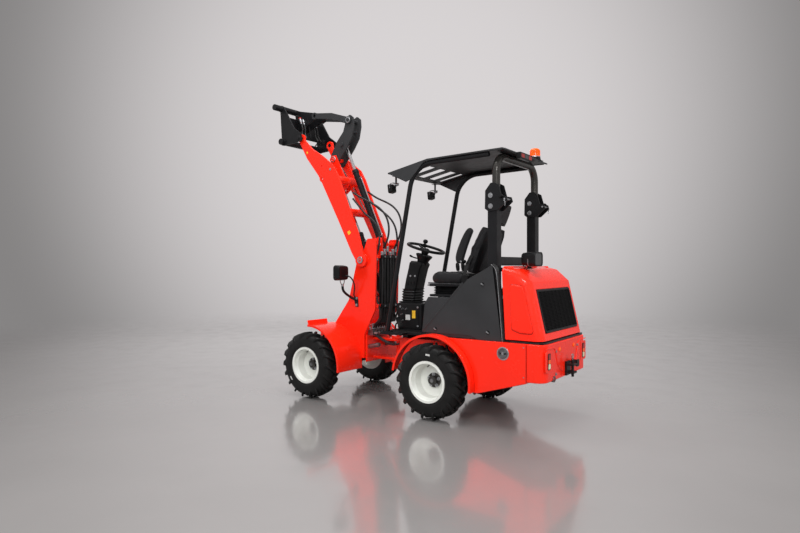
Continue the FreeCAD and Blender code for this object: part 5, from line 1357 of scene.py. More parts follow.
def makeRoofLamps():
    own, parts = roofLamps, []
    low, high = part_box("roof_lamps")
    for side in (1, -1):
        y, postX = side * own["y"], own["postX"]
        parts.append(lampHead((own["headX"], y, own["headZ"]), own["facing"], *own["size"]))
        for aside in (-own["forkHalf"], own["forkHalf"]):
            add(parts, "steelGrey", bar([(x, y + aside * share, z) for x, share, z in own["fork"]],
                    own["forkRadius"]))
        add(parts, "zinc", spun(own["hoop"], (postX, y, own["hoopZ"]), own["hoopAxis"], 32))
        add(parts, "paintBlack", rod((postX, y, own["postFoot"]), (postX, y, high.z - own["postDrop"]),
                own["postRadius"]))
        rear, front, half, foot, head = own["footPlate"]
        add(parts, "steelGrey", block((rear, y - half, foot), (front, y + half, head), 0.001))
        (rear, front, half), (foot, head) = own["headPlate"], own["headPlateDrop"]
        add(parts, "steelGrey",
                block((rear, y - half, high.z - foot), (front, y + half, high.z - head), 0.001))
        add(parts, "hoseRubber", bar([(x, y + aside, z) for x, aside, z in own["cable"]], own["cableRadius"]))
    # the rear light box under the roof's back edge
    corner = Vector((low.x, 0, high.z))
    boxLow, boxHigh = corner + Vector(own["boxLow"]), corner + Vector(own["boxHigh"])
    add(parts, "plasticBlack", block(boxLow, boxHigh, 0.005))
    for index, look in enumerate(own["windows"]):
        y = boxLow.y + own["windowStart"] + index * own["windowPitch"]
        add(parts, look, block((boxLow.x - 0.0003, y, boxLow.z + 0.01),
                (boxLow.x + 0.006, y + own["windowWide"], boxHigh.z - 0.01), 0.002))
    finish(parts, "roof_lamps_finished", "chassis", 40, "roof_lamps")


makeRoofLamps()

headLamps = {
    "y": 0.33, "headX": 0.603, "headZ": 1.176, "size": (0.155, 0.144, 0.07), "fins": 7,
    "fork": ((0.588, 0.2, 1.062), (0.59, 1.0, 1.078), (0.592, 1.0, 1.112)), "forkHalf": 0.03,
    "forkRadius": 0.0042,
    "studX": 0.588, "studZ": (1.048, 1.072), "studRadius": 0.012,
    "bracket": ((0.588, 0.33, 1.052), (0.588, 0.33, 1.02), (0.584, 0.3, 0.985), (0.578, 0.24, 0.95),
        (0.566, 0.206, 0.93), (0.545, 0.192, 0.918)), "bracketRadius": 0.012,
    "plate": [(0.52, 0.945), (0.512, 0.85), (0.545, 0.85), (0.56, 0.9), (0.556, 0.945)],
    "plateReach": (0.1845, 0.1895), "boltX": 0.533, "boltZ": (0.932, 0.868),
    "cable": ((0.572, 0.31, 1.15), (0.535, 0.3, 1.15), (0.51, 0.27, 1.11), (0.515, 0.235, 1.04),
        (0.545, 0.215, 0.98), (0.56, 0.2, 0.955), (0.54, 0.19, 0.92)), "cableRadius": 0.0068,
}


def makeHeadLamps():
    own, parts = headLamps, []
    for side in (1, -1):
        y, (inner, outer) = side * own["y"], own["plateReach"]
        parts.append(lampHead((own["headX"], y, own["headZ"]), (1, 0, 0), *own["size"], "clearLens",
                own["fins"]))
        # fork, bent bracket down to the tower's cheek and its two bolts
        for aside in (-own["forkHalf"], own["forkHalf"]):
            add(parts, "steelGrey", bar([(x, y + aside * share, z) for x, share, z in own["fork"]],
                    own["forkRadius"]))
        low, high = own["studZ"]
        add(parts, "zinc", rod((own["studX"], y, low), (own["studX"], y, high), own["studRadius"], 0.002))
        add(parts, "paintBlack", bar(handed(side, own["bracket"]), own["bracketRadius"]),
            sidePlate(own["plate"], side * inner, side * outer))
        parts.append(scatter(hexBolt(0.009, 0.007), [((own["boltX"], side * outer, z), (0, side, 0))
                for z in own["boltZ"]]))
        add(parts, "hoseRubber", bar(handed(side, own["cable"]), own["cableRadius"]))
    finish(parts, "head_lamps_finished", "front_frame", 40, "head_lamps")


makeHeadLamps()

workLamp = {
    "drop": 0.058, "tall": 0.112, "fins": 6, "yokeRadius": 0.005, "footX": -1.233,
    "foot": [(0, 0.0), (0, 0.026), (0.004, 0.026), (0.008, 0.018), (0.03, 0.014), (0.03, 0.0)],
    "cableRadius": 0.004,
}


def makeWorkLamp():
    own, (low, high) = workLamp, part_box("work_lamp")
    centre = Vector(((low.x + high.x) / 2, (low.y + high.y) / 2, high.z - own["drop"]))
    parts = [lampHead(centre, (-1, 0, 0), high.y - low.y, own["tall"], high.x - low.x, "darkGlass",
            own["fins"])]
    leg = ((0.004, centre.z), (0.002, low.z + 0.03), (0.03, low.z + 0.02))
    yoke = [(centre.x, low.y + inset, z) for inset, z in leg]
    yoke += [(centre.x, high.y - inset, z) for inset, z in reversed(leg)]
    add(parts, "steelGrey", bar(yoke, own["yokeRadius"]))
    add(parts, "plasticBlack", spun(own["foot"], (own["footX"], centre.y, low.z), upward, 28))
    cable = [centre + Vector((0.05, 0, -0.03)), centre + Vector((0.075, 0, -0.052)),
            (centre.x + 0.07, centre.y - 0.02, low.z + 0.018),
            (centre.x + 0.06, centre.y - 0.03, low.z + 0.012)]
    add(parts, "hoseRubber", bar(cable, own["cableRadius"]))
    finish(parts, "work_lamp_finished", "hood", 40, "work_lamp")


makeWorkLamp()

roofDetail = {
    # X and Z where the roof's top bends, from its rear to its nose
    "bend": (-1.104, 2.147), "visor": (-0.422, 2.133), "nose": (-0.014, 2.052),
    # corner, and how far along and down from it the edge tube bends
    "edge": (("nose", -0.004, -0.007), ("visor", 0.05, -0.02), ("visor", -0.05, -0.007),
        ("bend", 0.05, -0.01),
        ("bend", 0.004, -0.012)), "edgeRadius": 0.006, "edgeInset": 0.006,
    "ribs": (-0.24, 0.0, 0.24), "ribHalf": 0.03, "ribTopHalf": 0.02, "ribSunk": 0.002,
    # share of the way from visor to bend, and how far the rib stands up there
    "ribLine": ((0.1, -0.001), (0.13, 0.0038), (0.87, 0.0038), (0.9, -0.001)),
    "rivetShares": (0.04, 0.35, 0.66, 0.97), "rivetY": 0.388, "rivetSunk": 0.0008,
}


def makeRoofDetail():
    # pressed ribs, edge tubes and rivets on the roof
    own, parts = roofDetail, []
    corner = {key: Vector((own[key][0], 0, own[key][1])) for key in ("bend", "visor", "nose")}
    for side in (1, -1):
        y = side * (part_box("roof")[1].y - own["edgeInset"])
        line = [(corner[key].x + along, y, corner[key].z + down) for key, along, down in own["edge"]]
        add(parts, "paintCharcoal", bar(line, own["edgeRadius"], 3, 6, 3))
    half, topHalf, sunk = own["ribHalf"], own["ribTopHalf"], own["ribSunk"]
    for y in own["ribs"]:
        sections = []
        for share, lift in own["ribLine"]:
            middle = corner["visor"].lerp(corner["bend"], share) + across * y
            sections.append([middle + across * aside + upward * rise for aside, rise in
                    ((-half, -sunk), (half, -sunk), (topHalf, lift), (-topHalf, lift))])
        add(parts, "paintCharcoal", roundEdges(drawnOut(sections), 0.001, 2, 20))
    spots = []
    for side in (1, -1):
        for share in own["rivetShares"]:
            place = corner["visor"].lerp(corner["bend"], share)
            spots.append(((place.x, side * own["rivetY"], place.z - own["rivetSunk"]), upward))
    parts.append(scatter(hexBolt(0.0062, 0.0042, False), spots))
    finish(parts, "roof_fittings", "chassis", 40)


makeRoofDetail()

barDetail = {
    "y": 0.37, "boltReach": 0.052, "boltX": -1.008, "boltZ": (1.787, 1.704),
    "pinX": -1.128, "pinZ": 1.752, "pinReach": 0.058, "pinRadius": 0.0085,
    # X, distance out from the post and Z of the pin's pull
    "pull": ((-1.128, 0.056, 1.752), (-1.128, 0.066, 1.752), (-1.14, 0.066, 1.72), (-1.134, 0.06, 1.7)),
    "pullRadius": 0.0032, "knobAt": (-1.1, 0.05, 1.776),
    "knob": [(0, 0.0), (0, 0.012), (0.006, 0.016), (0.024, 0.016), (0.03, 0.011), (0.03, 0.0)],
}


def makeBarDetail():
    # hinge bolts, pins and knobs on the folding joint
    own, parts = barDetail, []
    spots = [((own["boltX"], side * own["y"] + face * own["boltReach"], z), (0, face, 0))
            for side in (1, -1) for face in (1, -1) for z in own["boltZ"]]
    parts.append(scatter(hexBolt(0.0135, 0.008), spots))
    for side in (1, -1):
        y, pinX, pinZ, reach = side * own["y"], own["pinX"], own["pinZ"], own["pinReach"]
        add(parts, "zinc", rod((pinX, y - reach, pinZ), (pinX, y + reach, pinZ), own["pinRadius"]),
            bar([(x, y + side * out, z) for x, out, z in own["pull"]], own["pullRadius"]))
        x, out, z = own["knobAt"]
        add(parts, "plasticBlack", spun(own["knob"], (x, y + side * out, z), (0, side, 0), 24))
    finish(parts, "bar_fittings", "chassis", 40)


makeBarDetail()
print("lamps, beacon and roof dressed")

pin = {
    # how far each step of the turned face stands out, and its share of the radius
    "profile": ((-0.0016, 0.56), (-0.0016, 0.3), (0.0006, 0.26), (0.0022, 0.12), (0.0024, 0.0)),
    "thick": 0.01, "edge": 0.002, "rim": 0.62,
    # each body's pins: joint or X and Z, the face's distance from the middle, and radius
    "heads": {
        "front_frame": (("boom_lift", 0.2365, 0.0325), ((0.373, 1.445), 0.055, 0.024)),
        "rocker": (("rocker_swing", 0.0925, 0.03),),
        "link": (("link_swing", 0.0845, 0.03),),
        "carrier": (("tool_tilt", 0.2745, 0.03),),
    },
    "slots": {"front_frame": "body_red", "rocker": "panel_grey", "link": "panel_grey",
        "carrier": "panel_grey"},
}


def pinCap(x, z, face, radius, look):
    # the turned end of a pin, standing out from face, with its grease nipple
    thick, edge = pin["thick"], pin["edge"]
    profile = [(-thick, 0.0), (-thick, radius), (-edge, radius), (0.0, radius - edge),
            (0.0, radius * pin["rim"])]
    profile += [(out, radius * share) for out, share in pin["profile"]]
    return paint(spun(profile, (x, face, z), (0, 1 if face > 0 else -1, 0), 36), look)


def makePins():
    for body, rows in pin["heads"].items():
        look, caps = "paintBlack" if body == "carrier" else "zinc", []
        for place, face, radius in rows:
            x, z = (jointPlace[place].x, jointPlace[place].z) if isinstance(place, str) else place
            caps += [pinCap(x, z, side * face, radius, look) for side in (1, -1)]
        finish(caps, "pin_heads_" + body, body, 40)


makePins()

towerHoses = {
    "rows": (-0.105, -0.063, -0.021, 0.021, 0.063, 0.105), "backX": 0.286, "wave": 0.006, "waveStep": 2.1,
    "top": 1.418, "topStep": 0.026, "radii": (0.0108, 0.0095),
    # X from the back, share of the wave in X and in Y, share of the row's Y, and Z
    "line": ((0.002, 0, 0, 1, None), (-0.002, 1, 0.3, 1, 1.23), (0.004, 1, -0.3, 1, 1.08),
        (0.002, 0, 0, 1, 0.95),
        (0.006, 0, 0, 1, 0.83), (0.03, 0, 0, 0.96, 0.74), (0.086, 0, 0, 0.92, 0.69),
        (0.12, 0, 0, 0.9, 0.655), (0.124, 0, 0, 0.88, 0.632)), "topDrop": 0.09,
    "ferrule": [(-0.04, 0.0112), (-0.04, 0.0132), (-0.002, 0.0138), (0.0, 0.0128), (0.0, 0.0)],
    "nut": (-0.001, 0.013), "nutRadius": 0.0145,
    # the backing strip, the clamps' levels and bolts
    "strip": ((0.018, -0.128, 0.7), (0.024, 0.128, 1.33)), "clampLevels": (0.85, 1.315),
    "clamp": ((-0.016, -0.124, 0.0), (0.01, 0.124, 0.03)), "clampBolts": (-0.084, 0.0, 0.084),
    "outerY": 0.142, "outerRadius": 0.0105,
    # X, share of the outer pair's Y and Z
    "outer": ((0.322, 1, 1.33), (0.322, 1, 1.3), (0.328, 1, 1.21), (0.34, 1, 1.11), (0.334, 1, 1.0),
        (0.322, 1, 0.92), (0.296, 0.98, 0.85), (0.276, 0.92, 0.79), (0.3, 0.85, 0.73),
        (0.35, 0.8, 0.7)),
    "outerX": 0.322, "outerFerrule": [(-0.03, 0.0112), (-0.03, 0.0138), (0.008, 0.0142), (0.01, 0.0)],
    "ferruleZ": 1.322, "outerNut": (1.33, 1.346),
    "elbow": ((0.322, 1.344), (0.322, 1.366), (0.33, 1.384), (0.35, 1.388)), "elbowRadius": 0.0075,
}


def makeTowerHoses():
    # six hoses down the back of the tower with their couplings and clamps, and an outer pair
    own, parts, backX = towerHoses, [], towerHoses["backX"]
    for index, y in enumerate(own["rows"]):
        wave = own["wave"] * math.sin(own["waveStep"] * index)
        top = own["top"] - own["topStep"] * (index % 3)
        head = (backX + 0.004, y, top)
        line = [head] + [(backX + x + wave * waveX, y * share + wave * waveY,
                top - own["topDrop"] if z is None else z)
                for x, waveX, waveY, share, z in own["line"]]
        add(parts, "hoseRubber", bar(line, own["radii"][index % 2], 4, 8))
        for spot, heading in ((head, upward), ((backX + 0.124, y * 0.88, 0.65), -upward)):
            low, high = (Vector(spot) + heading * reach for reach in own["nut"])
            add(parts, "zinc", spun(own["ferrule"], spot, heading, 24),
                    rod(low, high, own["nutRadius"], 0.0012, 6))
    add(parts, "paintBlack",
            block(*(Vector((backX, 0, 0)) + Vector(corner) for corner in own["strip"]), 0.002))
    for level in own["clampLevels"]:
        low, high = (Vector((backX, 0, level)) + Vector(corner) for corner in own["clamp"])
        add(parts, "plasticBlack", block(low, high, 0.004))
        parts.append(scatter(hexBolt(0.0065, 0.0045), [((low.x, y, (low.z + high.z) / 2), (-1, 0, 0))
                for y in own["clampBolts"]]))
    for y in (own["outerY"], -own["outerY"]):
        x, (low, high) = own["outerX"], own["outerNut"]
        add(parts, "hoseRubber",
                bar([(x, y * share, z) for x, share, z in own["outer"]], own["outerRadius"], 4, 8))
        add(parts, "zinc", spun(own["outerFerrule"], (x, y, own["ferruleZ"]), upward, 24),
            rod((x, y, low), (x, y, high), 0.015, 0.001, 6))
        add(parts, "steelGrey", bar([(x, y, z) for x, z in own["elbow"]], own["elbowRadius"]))
    finish(parts, "tower_hoses_finished", "front_frame", 50, "tower_hoses")


makeTowerHoses()

valve = {
    "sections": 5, "start": -0.104, "pitch": 0.052, "half": 0.02, "proud": 0.004, "spoolRise": 0.024,
    "spool": [(0, 0.0), (0, 0.014), (0.016, 0.013), (0.02, 0.01), (0.026, 0.01), (0.026, 0.0)],
    # from the block's upper front edge
    "elbow": ((-0.012, -0.002), (-0.012, 0.026), (0.01, 0.04), (0.03, 0.036)), "elbowRadius": 0.0085,
}


def makeValve():
    own, (low, high), parts, proud = valve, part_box("valve_block"), [], valve["proud"]
    add(parts, "steelGrey", block(low, high, 0.004))
    for index in range(own["sections"]):
        y, half = own["start"] + own["pitch"] * index, own["half"]
        add(parts, "castIron", block((low.x - proud, y - half, low.z + proud),
                (high.x + proud, y + half, high.z - proud), 0.003))
        add(parts, "zinc", spun(own["spool"], (low.x - 0.002, y, low.z + own["spoolRise"]), (-1, 0, 0), 24),
            bar([(high.x + x, y, high.z + z) for x, z in own["elbow"]], own["elbowRadius"]))
    finish(parts, "valve_finished", "front_frame", 40, "valve_block")


makeValve()


def crossing(name, body, other, lines, radius, start, end):
    # hoses that run from one moving piece to the next
    hoses = joined(*(paint(bar(line, radius, 4, 10), "hoseRubber") for line in lines))
    hoses.name = hoses.data.name = name
    pick(hoses)
    bpy.ops.object.shade_smooth()
    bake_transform(hoses)


boomHoses = {
    "radius": 0.0092, "bendStart": (-0.1, 0.12), "bendEnd": (0.1, 0.42),
    "lines": (
        [(0.322, 0.142, 1.36), (0.3, 0.142, 1.42), (0.3, 0.12, 1.52), (0.33, 0.118, 1.62),
        (0.4, 0.118, 1.69), (0.49, 0.118, 1.74), (0.56, 0.118, 1.82), (0.64, 0.118, 1.9)],
        [(0.322, -0.142, 1.36), (0.29, -0.142, 1.42), (0.276, -0.12, 1.53), (0.3, -0.118, 1.64),
        (0.376, -0.118, 1.73), (0.47, -0.118, 1.79), (0.56, -0.118, 1.85), (0.64, -0.118, 1.92)],
        [(0.29, 0.084, 1.41), (0.24, 0.084, 1.48), (0.205, 0.092, 1.59), (0.245, 0.096, 1.72),
        (0.33, 0.1, 1.8), (0.43, 0.104, 1.85), (0.54, 0.11, 1.9), (0.64, 0.116, 1.96)],
        [(0.29, -0.084, 1.41), (0.23, -0.084, 1.5), (0.19, -0.092, 1.62), (0.24, -0.096, 1.77),
        (0.35, -0.1, 1.85), (0.45, -0.104, 1.89), (0.55, -0.11, 1.93), (0.64, -0.116, 1.99)]),
}


def makeBoomHoses():
    middle = jointPlace["boom_lift"]
    start, end = ((middle.x + along, 0.0, middle.z + rise) for along, rise in (boomHoses["bendStart"],
            boomHoses["bendEnd"]))
    crossing("boom_hoses", "front_frame", "boom", boomHoses["lines"], boomHoses["radius"], start, end)


makeBoomHoses()
print("tower dressed")

arm = {
    "lean": 57.7, "plateY": 0.2222, "plateThick": 0.0006,
    # along and above the arm's line, and half the plate's side
    "plates": ((0.3, 0.02, 0.017), (1.3, -0.01, 0.01)), "bolt": (0.965, 0.15), "boltY": 0.222,
    "pipe": ((0.36, 0.05), (0.62, 0.04), (0.9, 0.04), (1.13, 0.02), (1.33, 0.0)), "pipeY": 0.186,
    "pipeRadius": 0.0062,
}


def onArm(along, y, above):
    lean, middle = math.radians(arm["lean"]), jointPlace["boom_lift"]
    return (middle.x + along * math.cos(lean) - above * math.sin(lean), y,
            middle.z + along * math.sin(lean) + above * math.cos(lean))


def makeArmDetail():
    # blank plates, bolts and pipes held along the arms
    own, parts = arm, []
    for side in (1, -1):
        y = side * own["plateY"]
        for along, above, half in own["plates"]:
            plate = drawnOut([[onArm(along + u, face, above + w) for u, w in
                    ((-half, -half), (half, -half), (half, half), (-half, half))]
                    for face in (y, y + side * own["plateThick"])])
            add(parts, "yellowPlate", plate)
        along, above = own["bolt"]
        parts.append(scatter(hexBolt(0.009, 0.006),
                [(onArm(along, side * own["boltY"], above), (0, side, 0))]))
        line = [onArm(along, side * own["pipeY"], above) for along, above in own["pipe"]]
        add(parts, "steelGrey", bar(line, own["pipeRadius"]))
    finish(parts, "arm_fittings", "boom", 40)


makeArmDetail()

cylinders = {
    # direction at rest, barrel's and gland's radius, and the feed pipe's look
    "tilt": ((0.41229, 0, 0.91105), 0.029, 0.033, "chrome"),
    "lift": ((0.4301, 0, 0.90278), 0.033, 0.037, "steelGrey"),
}
barrelDetail = {
    "mouth": 0.012, "welds": (0.07, -0.09), "ports": (0.085, -0.104), "pipeRadius": 0.0058,
    # along the barrel from its foot or, when negative, from its mouth, and out from its skin
    "pipe": ((0.085, -0.002), (0.085, 0.012), (0.12, 0.012), (-0.15, 0.012), (-0.11, 0.012), (-0.1, -0.002)),
}


def makeCylinderDetail():
    # gland rings at the mouths, end welds and the feed pipe beside each barrel
    own = barrelDetail
    for name, (heading, size, headRadius, look) in cylinders.items():
        place, axis, parts = jointPlace[name + "_barrel_swing"], Vector(heading), []
        length = (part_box(name + "_barrel")[1].z - place.z) / axis.z - own["mouth"]

        def spots(values):
            return [value if value > 0 else length + value for value in values]

        add(parts, "paintBlack", spun(
            [(length - 0.034, size), (length - 0.034, headRadius), (length - 0.004, headRadius),
             (length, headRadius - 0.003), (length, size - 0.006), (length - 0.002, size - 0.008)], place,
                axis, 40))
        for spot in spots(own["welds"]):
            add(parts, "paintBlack", spun([(spot, size - 0.001), (spot + 0.003, size + 0.0028),
                    (spot + 0.01, size + 0.0028), (spot + 0.013, size - 0.001)],
                    place, axis, 40))
        aside = across.cross(axis) * -1
        line = [place + axis * spot + aside * (size + out)
                for spot, (_, out) in zip(spots(along for along, _ in own["pipe"]), own["pipe"])]
        add(parts, look, bar(line, own["pipeRadius"]))
        for spot in spots(own["ports"]):
            centre = place + axis * spot + aside * (size + 0.004)
            add(parts, "zinc", rod(centre - aside * 0.01, centre + aside * 0.012, 0.011, 0.0015, 6))
        finish(parts, name + "_barrel_fittings", name + "_barrel", 40)


makeCylinderDetail()

coupler = {
    # all places are measured from the tool's pivot
    "lockY": 0.18, "lock": ((0.06, -0.026, 0.018), (0.15, 0.026, 0.066)),
    "spring": ((0.15, 0.18, 0.04), (0.19, 0.182, 0.03), (0.212, 0.19, -0.006)), "springRadius": 0.008,
    "couplings": (-0.11, -0.07, 0.07, 0.11), "couplingAt": (0.118, 0.205), "couplingAxis": (0.35, 0, 0.94),
    "coupling": [(-0.02, 0.0), (-0.02, 0.013), (0.0, 0.014), (0.004, 0.018), (0.026, 0.018),
        (0.03, 0.014), (0.044, 0.013), (0.046, 0.009), (0.046, 0.0)],
    "cap": [(0.04, 0.0), (0.04, 0.0155), (0.052, 0.0155), (0.055, 0.011), (0.055, 0.0)],
    # X, share of the coupling's Y and Z from the coupling
    "stub": ((-0.008, 0, -0.018), (-0.03, 0, -0.07), (-0.02, 0.1, -0.12), (-0.06, 0.2, -0.17)),
    "stubRadius": 0.0085,
    "handle": ((0.07, 0.02, 0.06), (0.08, 0.022, 0.15), (0.11, 0.024, 0.24), (0.14, 0.06, 0.262),
        (0.15, 0.11, 0.268)), "handleRadius": 0.0065,
    "grip": ((0.148, 0.1, 0.267), (0.152, 0.15, 0.27)), "gripRadius": 0.01,
}


def makeCarrierDetail():
    # lock housings, couplings with their stubs and the lock's handle on the quick coupler
    own, parts, tool = coupler, [], jointPlace["tool_tilt"]

    def fromTool(points):
        return [Vector((tool.x, 0, tool.z)) + Vector(point) for point in points]

    for side in (1, -1):
        low, high = fromTool((x, side * own["lockY"] + y, z) for x, y, z in own["lock"])
        add(parts, "paintBlack", block(low, high, 0.005))
        add(parts, "zinc", bar(fromTool(handed(side, own["spring"])), own["springRadius"]))
    for index, y in enumerate(own["couplings"]):
        x, z = own["couplingAt"]
        place = Vector((tool.x + x, y, tool.z + z))
        add(parts, "zinc", spun(own["coupling"], place, own["couplingAxis"], 24))
        add(parts, "redLens" if index % 2 else "plasticBlack",
                spun(own["cap"], place, own["couplingAxis"], 24))
        add(parts, "hoseRubber", bar([place + Vector((x, y * share, z)) for x, share, z in own["stub"]],
                own["stubRadius"]))
    add(parts, "paintBlack", bar(fromTool(own["handle"]), own["handleRadius"]))
    add(parts, "hoseRubber", rod(*fromTool(own["grip"]), own["gripRadius"], 0.003))
    finish(parts, "carrier_fittings", "carrier", 40)


makeCarrierDetail()

floorDetail = {
    # heights above the floor
    "mat": ((-0.405, -0.318, -0.001), (0.06, 0.318, 0.004)), "ribs": 20, "ribStart": -0.395,
    "ribPitch": 0.0235,
    "rib": ((0.0, -0.305, 0.003), (0.009, 0.305, 0.0065)),
    # Y and half width of each pedal
    "pedals": ((0.205, 0.034), (-0.205, 0.034), (-0.262, 0.016)),
    "pad": ((-0.01, 0.03), (0.04, 0.115), (0.046, 0.111), (-0.004, 0.026)),
    "stem": ((0.02, 0.07), (0.048, 0.06), (0.062, 0.03), (0.062, 0.002)), "stemRadius": 0.007,
    "lever": ((0.11, 0.15, 0.618), (0.118, 0.15, 0.645), (0.16, 0.15, 0.715), (0.186, 0.15, 0.768)),
    "leverRadius": 0.0045,
}


def makeFloorDetail():
    # ribbed mat, pedals and the bent lever beside the console
    own, parts, top = floorDetail, [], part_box("floor")[1].z

    def onFloor(points, x=0.0):
        return [Vector((x, 0, top)) + Vector(point) for point in points]

    add(parts, "hoseRubber", block(*onFloor(own["mat"]), 0.002))
    for index in range(own["ribs"]):
        add(parts, "hoseRubber",
                block(*onFloor(own["rib"], own["ribStart"] + own["ribPitch"] * index), 0.001))
    for y, half in own["pedals"]:
        pad = drawnOut([onFloor((x, y + w, z) for x, z in own["pad"]) for w in (-half, half)])
        add(parts, "hoseRubber", roundEdges(pad, 0.0015))
        add(parts, "paintBlack", bar(onFloor((x, y, z) for x, z in own["stem"]), own["stemRadius"]))
    add(parts, "zinc", bar(own["lever"], own["leverRadius"]))
    finish(parts, "floor_fittings", "chassis", 40)


makeFloorDetail()

consoleDetail = {
    # X and Z corners of a plate, how far it runs from the console's face, its edge and look
    "plates": (((-0.152, 0.69), (0.06, 0.88), (-0.001, 0.004), 0.003, "plasticBlack"),
        ((-0.118, 0.77), (-0.082, 0.84), (0.0035, 0.0052), 0.0005, "yellowPlate"),
        ((-0.06, 0.752), (-0.01, 0.8), (0.0035, 0.005), 0.0005, "greyPlate")),
    "switches": ((0.02, 0.85), (-0.02, 0.85), (0.02, 0.745), (0.028, 0.8)),
    "switch": [(0, 0.0), (0, 0.012), (0.006, 0.011), (0.01, 0.007), (0.022, 0.005), (0.022, 0.0)],
    "boltX": (-0.142, 0.05), "boltZ": (0.7, 0.87),
    "levers": ((-0.33, -0.3), (-0.37, -0.33)), "leverFoot": 0.974, "leverRadius": 0.0065,
    "lever": ((0.0, 0.974), (0.0, 1.06), (0.02, 1.14), (0.03, 1.21)),
    "grip": [(0, 0.0), (0, 0.013), (0.012, 0.017), (0.04, 0.019), (0.066, 0.017), (0.078, 0.01), (0.08, 0.0)],
    "gripAt": (0.028, 1.195), "gripAxis": (0.12, 0, 0.99),
    "boot": [(0, 0.03), (0.004, 0.032), (0.012, 0.024), (0.018, 0.026), (0.026, 0.018), (0.032, 0.02),
        (0.042, 0.01), (0.042, 0.0065), (0, 0.0065)],
}


def makeConsoleDetail():
    # switch plate, blank tags and switches, and the two levers on the right of the seat
    own, parts, face = consoleDetail, [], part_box("console")[1].y
    for (rear, foot), (front, head), (inner, outer), edge, look in own["plates"]:
        corners = [(rear, foot), (front, foot), (front, head), (rear, head)]
        add(parts, look, sidePlate(corners, face + inner, face + outer, edge))
    for x, z in own["switches"]:
        add(parts, "steelGrey", spun(own["switch"], (x, face + 0.003, z), across, 20))
    parts.append(scatter(hexBolt(0.0065, 0.004), [((x, face + 0.004, z), across)
            for x in own["boltX"] for z in own["boltZ"]]))
    for x, y in own["levers"]:
        along, level = own["gripAt"]
        add(parts, "steelGrey", bar([(x + ahead, y, z) for ahead, z in own["lever"]], own["leverRadius"]))
        add(parts, "plasticBlack", spun(own["grip"], (x + along, y, level), own["gripAxis"], 24))
        add(parts, "hoseRubber", spun(own["boot"], (x, y, own["leverFoot"]), upward, 28))
    finish(parts, "console_fittings", "chassis", 40)


makeConsoleDetail()

joint = {
    "cap": [(-0.006, 0.0), (-0.006, 0.036), (0.006, 0.036), (0.01, 0.031), (0.01, 0.012), (0.014, 0.01),
        (0.014, 0.0)], "capLevels": (0.602, 0.312),
    "hoses": (-0.11, -0.085, 0.085, 0.11), "hoseRadius": 0.009, "bend": ((0.11, 0, 0.5), (0.23, 0, 0.5)),
    # X, share of the hose's Y and Z
    "line": ((0.392, 1, 0.6), (0.33, 1, 0.56), (0.25, 0.9, 0.52), (0.168, 0.8, 0.5), (0.09, 0.9, 0.52),
        (0.02, 1, 0.55), (-0.03, 1, 0.54)),
    "ball": [(-0.016, 0.0), (-0.014, 0.014), (0.0, 0.021), (0.014, 0.017), (0.02, 0.012), (0.034, 0.012),
        (0.036, 0.0)], "ballAt": (0.462, 0.12, 0.405),
    "stub": ((0.3, 0.13, 0.5), (0.44, 0.13, 0.47)), "stubRadius": 0.02,
    "boltX": 0.4435, "boltY": (-0.05, 0.05), "boltZ": (0.35, 0.42),
}


def makeArticulationDetail():
    # king pin caps, hoses through the joint and the steering rams' stubs
    own, parts, pivotX = joint, [], jointPlace["articulation"].x
    for level, heading in zip(own["capLevels"], (upward, -upward)):
        add(parts, "zinc", spun(own["cap"], (pivotX, 0, level), heading, 32))
    finish(parts, "king_pin_caps", "chassis", 40)
    lines = [[(x, y * share, z) for x, share, z in own["line"]] for y in own["hoses"]]
    crossing("joint_hoses", "chassis", "front_frame", lines, own["hoseRadius"], *own["bend"])
    parts = []
    add(parts, "yellowPlate", spun(own["ball"], own["ballAt"], across, 28))
    for side in (1, -1):
        add(parts, "steelGrey", rod(*handed(side, own["stub"]), own["stubRadius"], 0.002))
    parts.append(scatter(hexBolt(0.009, 0.007), [((own["boltX"], y, z), (1, 0, 0))
            for y in own["boltY"] for z in own["boltZ"]]))
    finish(parts, "joint_fittings", "front_frame", 40)


makeArticulationDetail()

fender = {
    "radius": 0.369, "axleZ": 0.31, "turns": (128, 150), "topY": 0.4601, "sideY": 0.46,
    "sideBolts": ((-1.3, 0.64), (-1.3, 0.42)),
    # turn of the blank mark on each left tyre
    "marks": {"rear_left": 95, "front_left": -38}, "markRadius": 0.222, "markHalf": (0.02, 0.007),
    "markY": (0.09, 0.0921),
}


def makeFenderDetail():
    # bolts on the fenders, blank marks on the left tyres
    own, parts, rearX = fender, [], jointPlace["wheel_rear_left_spin"].x
    for side in (1, -1):
        spots = [((rearX + own["radius"] * math.cos(math.radians(turn)), side * own["topY"],
                own["axleZ"] + own["radius"] * math.sin(math.radians(turn))), (0, side, 0))
                for turn in own["turns"]]
        spots += [((x, side * own["sideY"], z), (0, side, 0)) for x, z in own["sideBolts"]]
        parts.append(scatter(hexBolt(0.0055, 0.0035, False), spots))
    finish(parts, "fender_bolts", "chassis", 40)
    long, high = own["markHalf"]
    for label, degrees in own["marks"].items():
        centre, sections = jointPlace["wheel_" + label + "_spin"], []
        c, s = math.cos(math.radians(degrees)), math.sin(math.radians(degrees))
        for out in own["markY"]:
            corners = [(along, own["markRadius"] + radial) for along, radial in
                    ((-long, -high), (long, -high), (long, high), (-long, high))]
            sections.append([centre + Vector((radius * c - along * s, out, radius * s + along * c))
                    for along, radius in corners])
        fit(paint(roundEdges(drawnOut(sections), 0.0006), "greyPlate"), "tyre_mark_" + label,
                "wheel_" + label,
            40)


makeFenderDetail()

